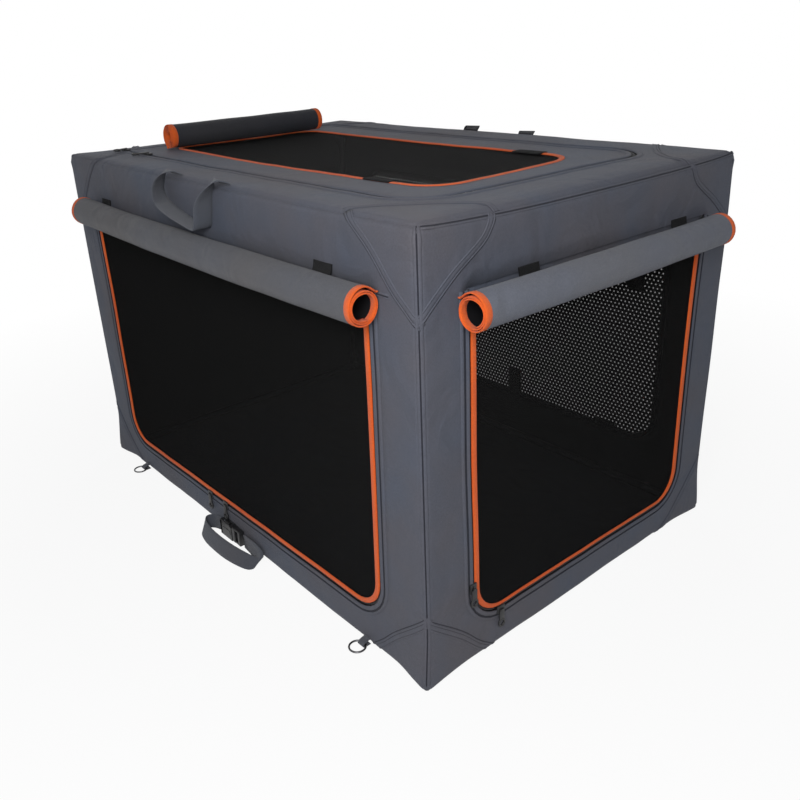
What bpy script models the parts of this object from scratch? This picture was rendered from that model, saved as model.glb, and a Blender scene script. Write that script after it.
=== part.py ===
"""A soft folding dog crate: fabric walls, mesh doors and rolled covers on a folding steel tube frame.

Metres, +Z up. The origin is on the floor, under the middle of the set up crate. +X runs along the
long side, and the long front wall faces -Y. The frame folds straight down: each corner post breaks
at a knuckle hinge half way up, and the roof frame comes down on the floor frame.
"""

import math

import bmesh
import bpy
from mathutils import Matrix, Vector

# Outside of the set up crate
LENGTH = 0.914
WIDTH = 0.610
HEIGHT = 0.586
CORNER_RADIUS = 0.015
FABRIC = 0.003
MESH = 0.0012
GAP = 0.0003

# Steel tube frame
TUBE_RADIUS = 0.0065
TUBE_WALL = 0.001
TUBE_INSET = 0.018
TUBE_SIDES = 12
FLOOR_THICKNESS = 0.004

# Corner brackets: a block with two spigots for the rails and two cheeks for a post's pin
BRACKET_HALF = 0.011
BRACKET_OUTER_HALF = 0.0095
SPIGOT_LENGTH = 0.014
PIVOT_RISE = 0.0325
CHEEK_THICKNESS = 0.0024
CHEEK_RADIUS = 0.0072
PIVOT_PIN_RADIUS = 0.0025
POST_END = 0.008

# Knuckle hinges, whose pins lie outward of the tubes' centre line
KNUCKLE_OFFSET = 0.0075
KNUCKLE_EYE_RADIUS = 0.0045
KNUCKLE_PIN_RADIUS = 0.002
KNUCKLE_STRAP = 0.026
TONGUE_THICKNESS = 0.004
FORK_REACH = 0.0053
PIN_CLEARANCE = 0.00025
PIN_SIDES = 16

# Doors: their margins run from the crate's edges to the outsides of their bindings, and the
# zipper lies around these
BINDING_WIDTH = 0.008
BINDING_THICKNESS = 0.005
ZIPPER_WIDTH = 0.010
ZIPPER_THICKNESS = 0.0015
HINGE_DROP = 0.066
HINGE_RELIEF = 0.003
FRONT_DOOR_MARGIN = 0.083
RIGHT_DOOR_MARGIN = 0.075
DOOR_FOOT = 0.056
DOOR_CORNER = 0.050

# Roof door, by its margins on the roof, its window, by margins on the door, and the back window
ROOF_DOOR_LEFT_MARGIN = 0.057
ROOF_DOOR_RIGHT_MARGIN = 0.088
ROOF_DOOR_SIDE_MARGIN = 0.0826
ROOF_DOOR_CORNER = 0.060
ROOF_WINDOW_LEFT_MARGIN = 0.055
ROOF_WINDOW_RIGHT_MARGIN = 0.0435
ROOF_WINDOW_SIDE_MARGIN = 0.0684
ROOF_WINDOW_CORNER = 0.040
BACK_WINDOW_MARGIN = 0.084
BACK_WINDOW_FOOT = 0.088
BACK_WINDOW_DROP = 0.096
BACK_WINDOW_CORNER = 0.050

# Rolled covers: fabric wound into a spiral, with a short tail that runs to its seam
COVER_THICKNESS = 0.003
ROLL_PITCH = 0.0036
ROLL_TURNS = 2.5
ROLL_RADIUS = 0.022
ROLL_DROP = 0.023
RIGHT_ROLL_DROP = 0.030
FRONT_ROLL_OVERHANG = 0.022
RIGHT_ROLL_OVERHANG = 0.020
ROOF_ROLL_OVERHANG = 0.006
ROOF_ROLL_SETBACK = 0.010
TAIL_ANGLE = math.radians(135)
TURN_STEPS = 24

# Webbing handles: a band whose width is square to the wall, hanging to just above the roll
HANDLE_WIDTH = 0.028
HANDLE_HALF_SPAN = 0.064
HANDLE_BEND = 0.045
HANDLE_SEAM_DROP = 0.0025
HANDLE_REST = 0.0045
FRONT_HANDLE_PLACE = 0.004
BACK_HANDLE_PLACE = 0.012
WEBBING = 0.002

# Zip sliders: a body on the zipper and a pull that hangs from it
SLIDER_LENGTH = 0.012
SLIDER_WIDTH = 0.008
SLIDER_THICKNESS = 0.004
PULL_LENGTH = 0.018
PULL_WIDTH = 0.007
PULL_THICKNESS = 0.002
FRONT_SLIDER_LEFT = -0.077
FRONT_SLIDER_RIGHT = -0.027
RIGHT_SLIDER_FOOT_OFFSET = 0.058
RIGHT_SLIDER_SIDE_OFFSET = 0.056
ROOF_SLIDER_LEFT_OFFSET = 0.010
ROOF_SLIDER_RIGHT_OFFSET = 0.098

# Storage strap and side-release buckle, in front of the crate at the floor
STRAP_WIDTH = 0.025
STRAP_LEFT = -0.088
STRAP_RIGHT = 0.094
STRAP_REACH = 0.048
BUCKLE_HEIGHT = 0.028
BUCKLE_DEPTH = 0.011
BUCKLE_WALL = 0.0022
BUCKLE_LEFT = -0.030
SOCKET_LENGTH = 0.036
PLUG_LENGTH = 0.024
PRONG_LENGTH = 0.028
BUCKLE_PLAY = 0.0004

# Stake rings in webbing loops at the floor
RING_MARGIN = 0.121
RING_RADIUS = 0.0115
RING_WIRE = 0.0015
LOOP_REACH = 0.012
LOOP_HEIGHT = 0.009
LOOP_WIDTH = 0.012
LOOP_WALL = 0.0015
RING_HEIGHT = 0.0035

# Steps of round corners, and the overrun of every cutter
CORNER_STEPS = 6
OVERRUN = 0.002

# Places that follow from the sizes above
HALF_LENGTH = LENGTH / 2
HALF_WIDTH = WIDTH / 2
POST_X = HALF_LENGTH - TUBE_INSET
POST_Y = HALF_WIDTH - TUBE_INSET
FLOOR_RAIL_Z = FLOOR_THICKNESS + GAP + TUBE_RADIUS
ROOF_RAIL_Z = HEIGHT - FABRIC - GAP - TUBE_RADIUS
LOWER_PIVOT_Z = FLOOR_RAIL_Z + PIVOT_RISE
UPPER_PIVOT_Z = ROOF_RAIL_Z - PIVOT_RISE
LINK = (UPPER_PIVOT_Z - LOWER_PIVOT_Z) / 2
KNUCKLE_Z = LOWER_PIVOT_Z + LINK
WALL_TOP = HEIGHT - FABRIC - GAP
BINDING_PROUD = (BINDING_THICKNESS - FABRIC) / 2
HINGE_HEIGHT = HEIGHT - HINGE_DROP
FRONT_DOOR_HALF = HALF_LENGTH - FRONT_DOOR_MARGIN
RIGHT_DOOR_HALF = HALF_WIDTH - RIGHT_DOOR_MARGIN
ROOF_DOOR_LEFT = HALF_LENGTH - ROOF_DOOR_LEFT_MARGIN
ROOF_DOOR_RIGHT = HALF_LENGTH - ROOF_DOOR_RIGHT_MARGIN
ROOF_DOOR_HALF = HALF_WIDTH - ROOF_DOOR_SIDE_MARGIN
ROOF_WINDOW_LEFT = ROOF_DOOR_LEFT - ROOF_WINDOW_LEFT_MARGIN
ROOF_WINDOW_RIGHT = ROOF_DOOR_RIGHT - ROOF_WINDOW_RIGHT_MARGIN
ROOF_WINDOW_HALF = ROOF_DOOR_HALF - ROOF_WINDOW_SIDE_MARGIN
BACK_WINDOW_HALF = HALF_LENGTH - BACK_WINDOW_MARGIN
BACK_WINDOW_HEAD = HEIGHT - BACK_WINDOW_DROP
ROLL_HEIGHT = HINGE_HEIGHT - ROLL_DROP
RIGHT_ROLL_HEIGHT = HINGE_HEIGHT - RIGHT_ROLL_DROP
ROLL_OUT = BINDING_PROUD + GAP + ROLL_RADIUS
FRONT_ROLL_HALF = FRONT_DOOR_HALF + FRONT_ROLL_OVERHANG
RIGHT_ROLL_HALF = RIGHT_DOOR_HALF + RIGHT_ROLL_OVERHANG
ROOF_ROLL_HALF = ROOF_WINDOW_HALF + ROOF_ROLL_OVERHANG
ROOF_ROLL_CENTRE = ROOF_WINDOW_LEFT - ROOF_ROLL_SETBACK
HANDLE_TOP = HEIGHT - HANDLE_SEAM_DROP
HANDLE_DROP = HANDLE_TOP - ROLL_HEIGHT - ROLL_RADIUS - HANDLE_REST
RING_PLACE = HALF_LENGTH - RING_MARGIN


def clear_scene():
    for old in list(bpy.data.objects):
        bpy.data.objects.remove(old, do_unlink=True)


def new_collection(name):
    collection = bpy.data.collections.new(name)
    bpy.context.scene.collection.children.link(collection)
    return collection


def new_material(name, colour, roughness, metallic=0.0):
    material = bpy.data.materials.new(name)
    material.use_nodes = True
    shader = material.node_tree.nodes["Principled BSDF"]
    shader.inputs["Base Color"].default_value = (*colour, 1.0)
    shader.inputs["Roughness"].default_value = roughness
    shader.inputs["Metallic"].default_value = metallic
    material.diffuse_color = (*colour, 1.0)
    return material


clear_scene()
CRATE = new_collection("soft_dog_crate")
TOOLS = new_collection("cutters")
FABRIC_GREY = new_material("grey_polyester", (0.085, 0.095, 0.115), 0.75)
COVER_GREY = new_material("cover_polyester", (0.105, 0.108, 0.120), 0.70)
MESH_BLACK = new_material("black_mesh", (0.012, 0.012, 0.012), 0.85)
BINDING_ORANGE = new_material("orange_binding", (0.78, 0.13, 0.02), 0.60)
ZIP_BLACK = new_material("zipper_black", (0.015, 0.015, 0.018), 0.50)
STEEL = new_material("coated_steel", (0.05, 0.05, 0.055), 0.35, 0.8)
PLASTIC = new_material("black_plastic", (0.02, 0.02, 0.022), 0.45)
WEB_GREY = new_material("grey_webbing", (0.09, 0.095, 0.115), 0.80)
RING_STEEL = new_material("ring_steel", (0.55, 0.55, 0.57), 0.25, 1.0)


def turn(x_axis, y_axis):
    """The rotation that takes a drawing's x and y axes to these directions of the crate."""
    x_axis = Vector(x_axis)
    y_axis = Vector(y_axis)
    columns = (x_axis, y_axis, x_axis.cross(y_axis))
    return Matrix(columns).transposed().to_euler()


# Drawings on each face of the crate: x runs along the face, y runs up it
ON_FRONT = turn((1, 0, 0), (0, 0, 1))
ON_RIGHT = turn((0, 1, 0), (0, 0, 1))
ON_ROOF = turn((1, 0, 0), (0, 1, 0))
# Drawings of a roll's end: x runs out of the face, y towards the seam the cover hangs from
FRONT_ROLL_END = turn((0, -1, 0), (0, 0, 1))
BACK_ROLL_END = turn((0, 1, 0), (0, 0, 1))
RIGHT_ROLL_END = turn((1, 0, 0), (0, 0, 1))
ROOF_ROLL_END = turn((0, 0, 1), (-1, 0, 0))


def place(obj, material, location=(0, 0, 0), rotation=(0, 0, 0), scale=(1, 1, 1)):
    obj.location = location
    obj.rotation_euler = rotation
    obj.scale = scale
    obj.data.materials.clear()
    obj.data.materials.append(material)
    return obj


def drawn(name, outlines, thickness):
    """A flat outline, with any holes, as a 2D curve of this thickness about its own plane."""
    curve = bpy.data.curves.new(name, "CURVE")
    curve.dimensions = "2D"
    curve.fill_mode = "BOTH"
    curve.extrude = thickness / 2
    for outline in outlines:
        spline = curve.splines.new("POLY")
        spline.points.add(len(outline) - 1)
        for point, (x, y) in zip(spline.points, outline):
            point.co = (x, y, 0.0, 1.0)
        spline.use_cyclic_u = True
    obj = bpy.data.objects.new(name, curve)
    CRATE.objects.link(obj)
    return obj


def arc(centre, radius, start, end, steps=CORNER_STEPS):
    """Points on a round corner, from one angle to the other in degrees."""
    points = []
    for step in range(steps + 1):
        angle = math.radians(start + (end - start) * step / steps)
        points.append((centre[0] + radius * math.cos(angle), centre[1] + radius * math.sin(angle)))
    return points


def rounded_box(left, right, foot, head, foot_radius, head_radius=0.0):
    """An upright outline with round corners at its foot and, if given a radius, at its head."""
    points = arc((left + foot_radius, foot + foot_radius), foot_radius, 180, 270)
    points += arc((right - foot_radius, foot + foot_radius), foot_radius, 270, 360)
    if head_radius:
        points += arc((right - head_radius, head - head_radius), head_radius, 0, 90)
        points += arc((left + head_radius, head - head_radius), head_radius, 90, 180)
    else:
        points += [(right, head), (left, head)]
    return points


def lying_box(left, right, half, left_radius, right_radius):
    """A roof outline, symmetric about the crate's long axis, with its own radius at each end."""
    points = arc((right - right_radius, -half + right_radius), right_radius, 270, 360)
    points += arc((right - right_radius, half - right_radius), right_radius, 0, 90)
    if left_radius:
        points += arc((left + left_radius, half - left_radius), left_radius, 90, 180)
        points += arc((left + left_radius, -half + left_radius), left_radius, 180, 270)
    else:
        points += [(left, half), (left, -half)]
    return points


def u_band(half, foot, head, radius, width):
    """A band of this width around a door's two sides and foot, open at the head."""
    outer = arc((-half + radius, foot + radius), radius, 180, 270)
    outer += arc((half - radius, foot + radius), radius, 270, 360)
    inner = arc((half - radius, foot + radius), radius - width, 360, 270)
    inner += arc((-half + radius, foot + radius), radius - width, 270, 180)
    return [(-half, head), *outer, (half, head), (half - width, head), *inner, (-half + width, head)]


def as_mesh(obj):
    """The object as a plain mesh with welded caps, in the same place, so that it can be cut or joined."""
    bpy.context.view_layer.update()
    graph = bpy.context.evaluated_depsgraph_get()
    mesh = bpy.data.meshes.new_from_object(obj.evaluated_get(graph))
    work = bmesh.new()
    work.from_mesh(mesh)
    bmesh.ops.remove_doubles(work, verts=work.verts, dist=GAP / 100)
    bmesh.ops.recalc_face_normals(work, faces=work.faces)
    work.to_mesh(mesh)
    work.free()
    solid = bpy.data.objects.new(obj.name + "_solid", mesh)
    CRATE.objects.link(solid)
    solid.matrix_world = obj.matrix_world
    name = obj.name
    bpy.data.objects.remove(obj, do_unlink=True)
    solid.name = name
    return solid


def joined(first, tool, operation):
    """The first solid after a Boolean with the tool, which is used up."""
    TOOLS.objects.link(tool)
    CRATE.objects.unlink(tool)
    tool.hide_render = True
    tool.display_type = "WIRE"
    change = first.modifiers.new(operation.lower(), "BOOLEAN")
    change.operation = operation
    change.object = tool
    solid = as_mesh(first)
    bpy.data.objects.remove(tool, do_unlink=True)
    return solid


def rod(name, radius, start, end, axis, sides=TUBE_SIDES):
    """A solid round bar along one axis, between two places on it, its centre line through (0, 0)."""
    mesh = bpy.data.meshes.new(name)
    work = bmesh.new()
    bmesh.ops.create_cone(
        work, cap_ends=True, segments=sides, radius1=radius, radius2=radius, depth=end - start
    )
    middle = (start + end) / 2
    if axis == "X":
        matrix = Matrix.Translation((middle, 0, 0)) @ Matrix.Rotation(math.pi / 2, 4, "Y")
    elif axis == "Y":
        matrix = Matrix.Translation((0, middle, 0)) @ Matrix.Rotation(-math.pi / 2, 4, "X")
    else:
        matrix = Matrix.Translation((0, 0, middle))
    bmesh.ops.transform(work, matrix=matrix, verts=work.verts)
    work.to_mesh(mesh)
    work.free()
    obj = bpy.data.objects.new(name, mesh)
    CRATE.objects.link(obj)
    return obj


def block(name, low, high, bevel=0.0):
    """A rectangular solid between two corners, with its edges rounded if asked."""
    mesh = bpy.data.meshes.new(name)
    low = Vector(low)
    high = Vector(high)
    work = bmesh.new()
    bmesh.ops.create_cube(work, size=1.0)
    size = high - low
    matrix = Matrix.Translation((low + high) / 2) @ Matrix.Diagonal((*size, 1))
    bmesh.ops.transform(work, matrix=matrix, verts=work.verts)
    work.to_mesh(mesh)
    work.free()
    obj = bpy.data.objects.new(name, mesh)
    CRATE.objects.link(obj)
    if bevel:
        rounding = obj.modifiers.new("rounded_edges", "BEVEL")
        rounding.width = bevel
        rounding.segments = 2
    return obj


def moved(obj, offset):
    """The solid with its points shifted, so that its origin stays where it was."""
    obj.data.transform(Matrix.Translation(offset))
    return obj


def smooth(obj):
    obj.data.shade_smooth()
    obj.data.set_sharp_from_angle(angle=math.radians(35))


def axis_empty(name, location):
    empty = bpy.data.objects.new(name, None)
    empty.empty_display_size = TUBE_RADIUS
    empty.location = location
    CRATE.objects.link(empty)
    return empty


def hang(empty, objects):
    """Parents pieces to the empty on their joint's axis without moving them."""
    bpy.context.view_layer.update()
    for obj in objects:
        obj.parent = empty
        obj.matrix_parent_inverse = empty.matrix_world.inverted()


# Rails: hollow tubes that slip over the brackets' spigots


def rail(name, length, along, location):
    mesh = bpy.data.meshes.new(name)
    work = bmesh.new()
    bmesh.ops.create_cone(
        work,
        cap_ends=False,
        segments=TUBE_SIDES,
        radius1=TUBE_RADIUS,
        radius2=TUBE_RADIUS,
        depth=length,
    )
    work.to_mesh(mesh)
    work.free()
    obj = bpy.data.objects.new(name, mesh)
    CRATE.objects.link(obj)
    shell = obj.modifiers.new("tube_wall", "SOLIDIFY")
    shell.thickness = TUBE_WALL
    shell.offset = -1
    shell.use_even_offset = True
    rotation = (0, math.pi / 2, 0) if along == "X" else (math.pi / 2, 0, 0)
    place(obj, STEEL, location, rotation)
    smooth(obj)
    return obj


LONG_RAIL = 2 * (POST_X - BRACKET_HALF - GAP)
SHORT_RAIL = 2 * (POST_Y - BRACKET_HALF - GAP)
for level, rail_z in (("bottom", FLOOR_RAIL_Z), ("top", ROOF_RAIL_Z)):
    rail(f"front_{level}_rail", LONG_RAIL, "X", (0, -POST_Y, rail_z))
    rail(f"back_{level}_rail", LONG_RAIL, "X", (0, POST_Y, rail_z))
    rail(f"left_{level}_rail", SHORT_RAIL, "Y", (-POST_X, 0, rail_z))
    rail(f"right_{level}_rail", SHORT_RAIL, "Y", (POST_X, 0, rail_z))


# Corner brackets, drawn once with +X and +Y along the two rails and +Z towards the post


def bracket_mesh():
    cheek_in = TUBE_RADIUS + GAP
    cheek_out = cheek_in + CHEEK_THICKNESS
    spigot = TUBE_RADIUS - TUBE_WALL - GAP
    reach = BRACKET_HALF + SPIGOT_LENGTH
    outer = (-BRACKET_OUTER_HALF, -BRACKET_OUTER_HALF, -TUBE_RADIUS)
    body = block("bracket", outer, (BRACKET_HALF, BRACKET_HALF, TUBE_RADIUS))
    body = joined(body, rod("long_spigot", spigot, 0, reach, "X"), "UNION")
    body = joined(body, rod("short_spigot", spigot, 0, reach, "Y"), "UNION")
    for side in (-1, 1):
        outline = arc((0, PIVOT_RISE), CHEEK_RADIUS, 0, 180)
        outline = [(CHEEK_RADIUS, 0), *outline, (-CHEEK_RADIUS, 0)]
        cheek = drawn("cheek", [outline], CHEEK_THICKNESS)
        middle = side * (cheek_in + cheek_out) / 2
        place(cheek, PLASTIC, (0, middle, 0), ON_FRONT)
        body = joined(body, as_mesh(cheek), "UNION")
    pin_end = cheek_out - GAP
    pin = moved(rod("pin", PIVOT_PIN_RADIUS, -pin_end, pin_end, "Y"), (0, 0, PIVOT_RISE))
    body = joined(body, pin, "UNION")
    mesh = body.data
    bpy.data.objects.remove(body, do_unlink=True)
    return mesh


BRACKET = bracket_mesh()
BRACKET.materials.append(PLASTIC)
for end, x_side in (("left", -1), ("right", 1)):
    for face, y_side in (("front", -1), ("back", 1)):
        for level, rail_z, up in (("bottom", FLOOR_RAIL_Z, 1), ("top", ROOF_RAIL_Z, -1)):
            obj = bpy.data.objects.new(f"{face}_{end}_{level}_bracket", BRACKET)
            CRATE.objects.link(obj)
            obj.location = (x_side * POST_X, y_side * POST_Y, rail_z)
            obj.scale = (-x_side, -y_side, up)


# Corner posts, drawn once with +X outward: the lower half has the knuckle's fork, the upper its tongue


def hinge_leaf(name, thickness, direction):
    """A leaf of the knuckle: an eye around its pin, and a strap that runs on to the tube."""
    strap_out = 2 * KNUCKLE_OFFSET - TUBE_RADIUS - GAP
    strap_in = TUBE_RADIUS - TUBE_WALL - TONGUE_THICKNESS / 2
    first = -math.degrees(math.acos((strap_out - KNUCKLE_OFFSET) / KNUCKLE_EYE_RADIUS))
    last = 360 - math.degrees(math.acos((strap_in - KNUCKLE_OFFSET) / KNUCKLE_EYE_RADIUS))
    eye = arc((KNUCKLE_OFFSET, 0), KNUCKLE_EYE_RADIUS, first, last, PIN_SIDES)
    outline = [(strap_out, -KNUCKLE_STRAP), *eye, (strap_in, -KNUCKLE_STRAP)]
    outline = [(x, -direction * y) for x, y in outline]
    leaf = drawn(name, [outline], thickness)
    place(leaf, STEEL, (0, 0, 0), ON_FRONT)
    return as_mesh(leaf)


def shifted(obj, offset):
    """The mesh with its placement applied and then shifted, so that its object sits at the origin."""
    obj.data.transform(obj.matrix_world)
    obj.matrix_world = Matrix.Identity(4)
    return moved(obj, offset)


def post_half(name, direction):
    """Half a corner post about its knuckle: -1 runs down from it with a fork, +1 up with a tongue."""
    far = LINK + POST_END
    low, high = sorted((direction * GAP / 2, direction * far))
    tube = rod(name, TUBE_RADIUS, low, high, "Z")
    fork_in = TONGUE_THICKNESS / 2 + GAP
    fork_out = FORK_REACH
    fork_half = (fork_out - fork_in) / 2
    if direction < 0:
        for side in (-1, 1):
            leaf = hinge_leaf("fork", 2 * fork_half, direction)
            leaf = shifted(leaf, (0, side * (fork_in + fork_half), 0))
            tube = joined(tube, leaf, "UNION")
    else:
        leaf = shifted(hinge_leaf("tongue", TONGUE_THICKNESS, direction), (0, 0, 0))
        tube = joined(tube, leaf, "UNION")
    bore_radius = TUBE_RADIUS - TUBE_WALL
    bore = rod("bore", bore_radius, low - OVERRUN, high + OVERRUN, "Z")
    tube = joined(tube, bore, "DIFFERENCE")
    swing = KNUCKLE_EYE_RADIUS + GAP
    offset = (KNUCKLE_OFFSET, 0, 0)
    if direction < 0:
        # The tongue of the upper half turns in this slot
        slot = moved(rod("slot", swing, -fork_in, fork_in, "Y", PIN_SIDES), offset)
        tube = joined(tube, slot, "DIFFERENCE")
        pin = moved(rod("pin", KNUCKLE_PIN_RADIUS, -fork_out + GAP, fork_out - GAP, "Y", PIN_SIDES), offset)
        tube = joined(tube, pin, "UNION")
    else:
        # The fork of the lower half turns in these two notches
        for side in (-1, 1):
            ends = sorted((side * TONGUE_THICKNESS / 2, side * (TUBE_RADIUS + GAP)))
            notch = moved(rod("notch", swing, *ends, "Y", PIN_SIDES), offset)
            tube = joined(tube, notch, "DIFFERENCE")
        hole_radius = KNUCKLE_PIN_RADIUS + PIN_CLEARANCE
        hole = moved(rod("hole", hole_radius, -OVERRUN * 2, OVERRUN * 2, "Y", PIN_SIDES), offset)
        tube = joined(tube, hole, "DIFFERENCE")
    hole_radius = PIVOT_PIN_RADIUS + PIN_CLEARANCE
    hole_end = TUBE_RADIUS + OVERRUN
    hole = rod("pivot_hole", hole_radius, -hole_end, hole_end, "Y", PIN_SIDES)
    tube = joined(tube, moved(hole, (0, 0, direction * LINK)), "DIFFERENCE")
    # The origin goes to the joint's axis: the pivot below, or the knuckle's pin above
    if direction < 0:
        tube.data.transform(Matrix.Translation((0, 0, LINK)))
    else:
        tube.data.transform(Matrix.Translation((-KNUCKLE_OFFSET, 0, 0)))
    mesh = tube.data
    bpy.data.objects.remove(tube, do_unlink=True)
    mesh.materials.append(STEEL)
    return mesh


LOWER_POST = post_half("lower_post", -1)
UPPER_POST = post_half("upper_post", 1)
for end, x_side in (("left", -1), ("right", 1)):
    for face, y_side in (("front", -1), ("back", 1)):
        lower = bpy.data.objects.new(f"{face}_{end}_lower_post", LOWER_POST)
        upper = bpy.data.objects.new(f"{face}_{end}_upper_post", UPPER_POST)
        for obj in (lower, upper):
            CRATE.objects.link(obj)
            obj.scale = (x_side, 1, 1)
            smooth(obj)
        lower.location = (x_side * POST_X, y_side * POST_Y, LOWER_PIVOT_Z)
        upper.location = (x_side * (POST_X + KNUCKLE_OFFSET), y_side * POST_Y, KNUCKLE_Z)


# Fabric shell: floor panel, four walls and the roof's border


def corner_plan(end):
    """The plan of a side wall, with both round corners, closed along its inner face."""
    centre_x = HALF_LENGTH - CORNER_RADIUS
    centre_y = HALF_WIDTH - CORNER_RADIUS
    inner_radius = CORNER_RADIUS - FABRIC
    outer = arc((centre_x, -centre_y), CORNER_RADIUS, 270, 360)
    outer += arc((centre_x, centre_y), CORNER_RADIUS, 0, 90)
    inner = arc((centre_x, centre_y), inner_radius, 90, 0)
    inner += arc((centre_x, -centre_y), inner_radius, 360, 270)
    return [(end * x, y) for x, y in outer + inner]


def side_wall(name, end):
    wall = drawn(name, [corner_plan(end)], WALL_TOP)
    return place(wall, FABRIC_GREY, (0, 0, WALL_TOP / 2))


WALL_HALF = HALF_LENGTH - CORNER_RADIUS - GAP
WALL_OUTLINE = [(-WALL_HALF, 0), (WALL_HALF, 0), (WALL_HALF, WALL_TOP), (-WALL_HALF, WALL_TOP)]
FRONT_PLANE = -HALF_WIDTH + FABRIC / 2
BACK_PLANE = HALF_WIDTH - FABRIC / 2
RIGHT_PLANE = HALF_LENGTH - FABRIC / 2
ROOF_PLANE = HEIGHT - FABRIC / 2


def doorway(half):
    """The hole that a zipper and its door fill, from the zipper's foot up to the hinge seam."""
    reach = half + ZIPPER_WIDTH
    foot = DOOR_FOOT - ZIPPER_WIDTH
    return rounded_box(-reach, reach, foot, HINGE_HEIGHT, DOOR_CORNER + ZIPPER_WIDTH)


def front_wall():
    wall = drawn("front_wall", [WALL_OUTLINE, doorway(FRONT_DOOR_HALF)], FABRIC)
    place(wall, FABRIC_GREY, (0, FRONT_PLANE, 0), ON_FRONT)
    wall = as_mesh(wall)
    # A webbing loop for a stake ring is sewn into the foot of the wall near each corner
    outer = [(-FABRIC / 2, 0), (LOOP_REACH, 0), (LOOP_REACH, LOOP_HEIGHT), (-FABRIC / 2, LOOP_HEIGHT)]
    inner = rounded_box(
        LOOP_WALL, LOOP_REACH - LOOP_WALL, LOOP_WALL, LOOP_HEIGHT - LOOP_WALL, LOOP_WALL, LOOP_WALL
    )
    for side in (-1, 1):
        loop = drawn("stake_loop", [outer, inner], LOOP_WIDTH)
        place(loop, WEB_GREY, (side * RING_PLACE, -HALF_WIDTH, 0), FRONT_ROLL_END)
        wall = joined(wall, as_mesh(loop), "UNION")
    return wall


def back_wall():
    opening = rounded_box(
        -BACK_WINDOW_HALF,
        BACK_WINDOW_HALF,
        BACK_WINDOW_FOOT,
        BACK_WINDOW_HEAD,
        BACK_WINDOW_CORNER,
        BACK_WINDOW_CORNER,
    )
    wall = drawn("back_wall", [WALL_OUTLINE, opening], FABRIC)
    return place(wall, FABRIC_GREY, (0, BACK_PLANE, 0), ON_FRONT)


def right_wall():
    wall = as_mesh(side_wall("right_wall", 1))
    cutter = drawn("doorway", [doorway(RIGHT_DOOR_HALF)], CORNER_RADIUS)
    place(cutter, FABRIC_GREY, (RIGHT_PLANE, 0, 0), ON_RIGHT)
    return joined(wall, as_mesh(cutter), "DIFFERENCE")


def roof_border():
    outer = lying_box(-HALF_LENGTH, HALF_LENGTH, HALF_WIDTH, CORNER_RADIUS, CORNER_RADIUS)
    hole = lying_box(
        -ROOF_DOOR_LEFT - GAP,
        ROOF_DOOR_RIGHT + ZIPPER_WIDTH,
        ROOF_DOOR_HALF + ZIPPER_WIDTH,
        0,
        ROOF_DOOR_CORNER + ZIPPER_WIDTH,
    )
    border = drawn("roof_border", [outer, hole], FABRIC)
    return place(border, FABRIC_GREY, (0, 0, ROOF_PLANE), ON_ROOF)


def floor_panel():
    inset = FABRIC + GAP
    radius = CORNER_RADIUS - inset
    outline = lying_box(-HALF_LENGTH + inset, HALF_LENGTH - inset, HALF_WIDTH - inset, radius, radius)
    panel = drawn("floor_panel", [outline], FLOOR_THICKNESS)
    return place(panel, FABRIC_GREY, (0, 0, FLOOR_THICKNESS / 2), ON_ROOF)


front_wall()
back_wall()
side_wall("left_wall", -1)
right_wall()
roof_border()
floor_panel()


# Mesh doors in the front and right walls, with their bindings and zippers


def door(face, half, location, rotation):
    """A mesh door, its U-shaped binding and the zipper between it and the wall."""
    head = HINGE_HEIGHT - HINGE_RELIEF
    binding = drawn(
        f"{face}_door_binding", [u_band(half, DOOR_FOOT, head, DOOR_CORNER, BINDING_WIDTH)], BINDING_THICKNESS
    )
    place(binding, BINDING_ORANGE, location, rotation)
    inset = BINDING_WIDTH + GAP
    mesh_outline = rounded_box(-half + inset, half - inset, DOOR_FOOT + inset, head, DOOR_CORNER - inset)
    mesh = drawn(f"{face}_door_mesh", [mesh_outline], MESH)
    place(mesh, MESH_BLACK, location, rotation)
    zip_half = half + ZIPPER_WIDTH - GAP
    zip_foot = DOOR_FOOT - ZIPPER_WIDTH + GAP
    zip_radius = DOOR_CORNER + ZIPPER_WIDTH - GAP
    zip_band = u_band(zip_half, zip_foot, head, zip_radius, ZIPPER_WIDTH - 2 * GAP)
    zipper = drawn(f"{face}_door_zipper", [zip_band], ZIPPER_THICKNESS)
    place(zipper, ZIP_BLACK, location, rotation)
    return [binding, mesh]


front_door = door("front", FRONT_DOOR_HALF, (0, FRONT_PLANE, 0), ON_FRONT)
right_door = door("right", RIGHT_DOOR_HALF, (RIGHT_PLANE, 0, 0), ON_RIGHT)
front_door_axis = axis_empty("front_door_axis", (0, -HALF_WIDTH, HINGE_HEIGHT))
right_door_axis = axis_empty("right_door_axis", (HALF_LENGTH, 0, HINGE_HEIGHT))
hang(front_door_axis, front_door)
hang(right_door_axis, right_door)


# The window in the back wall


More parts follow.
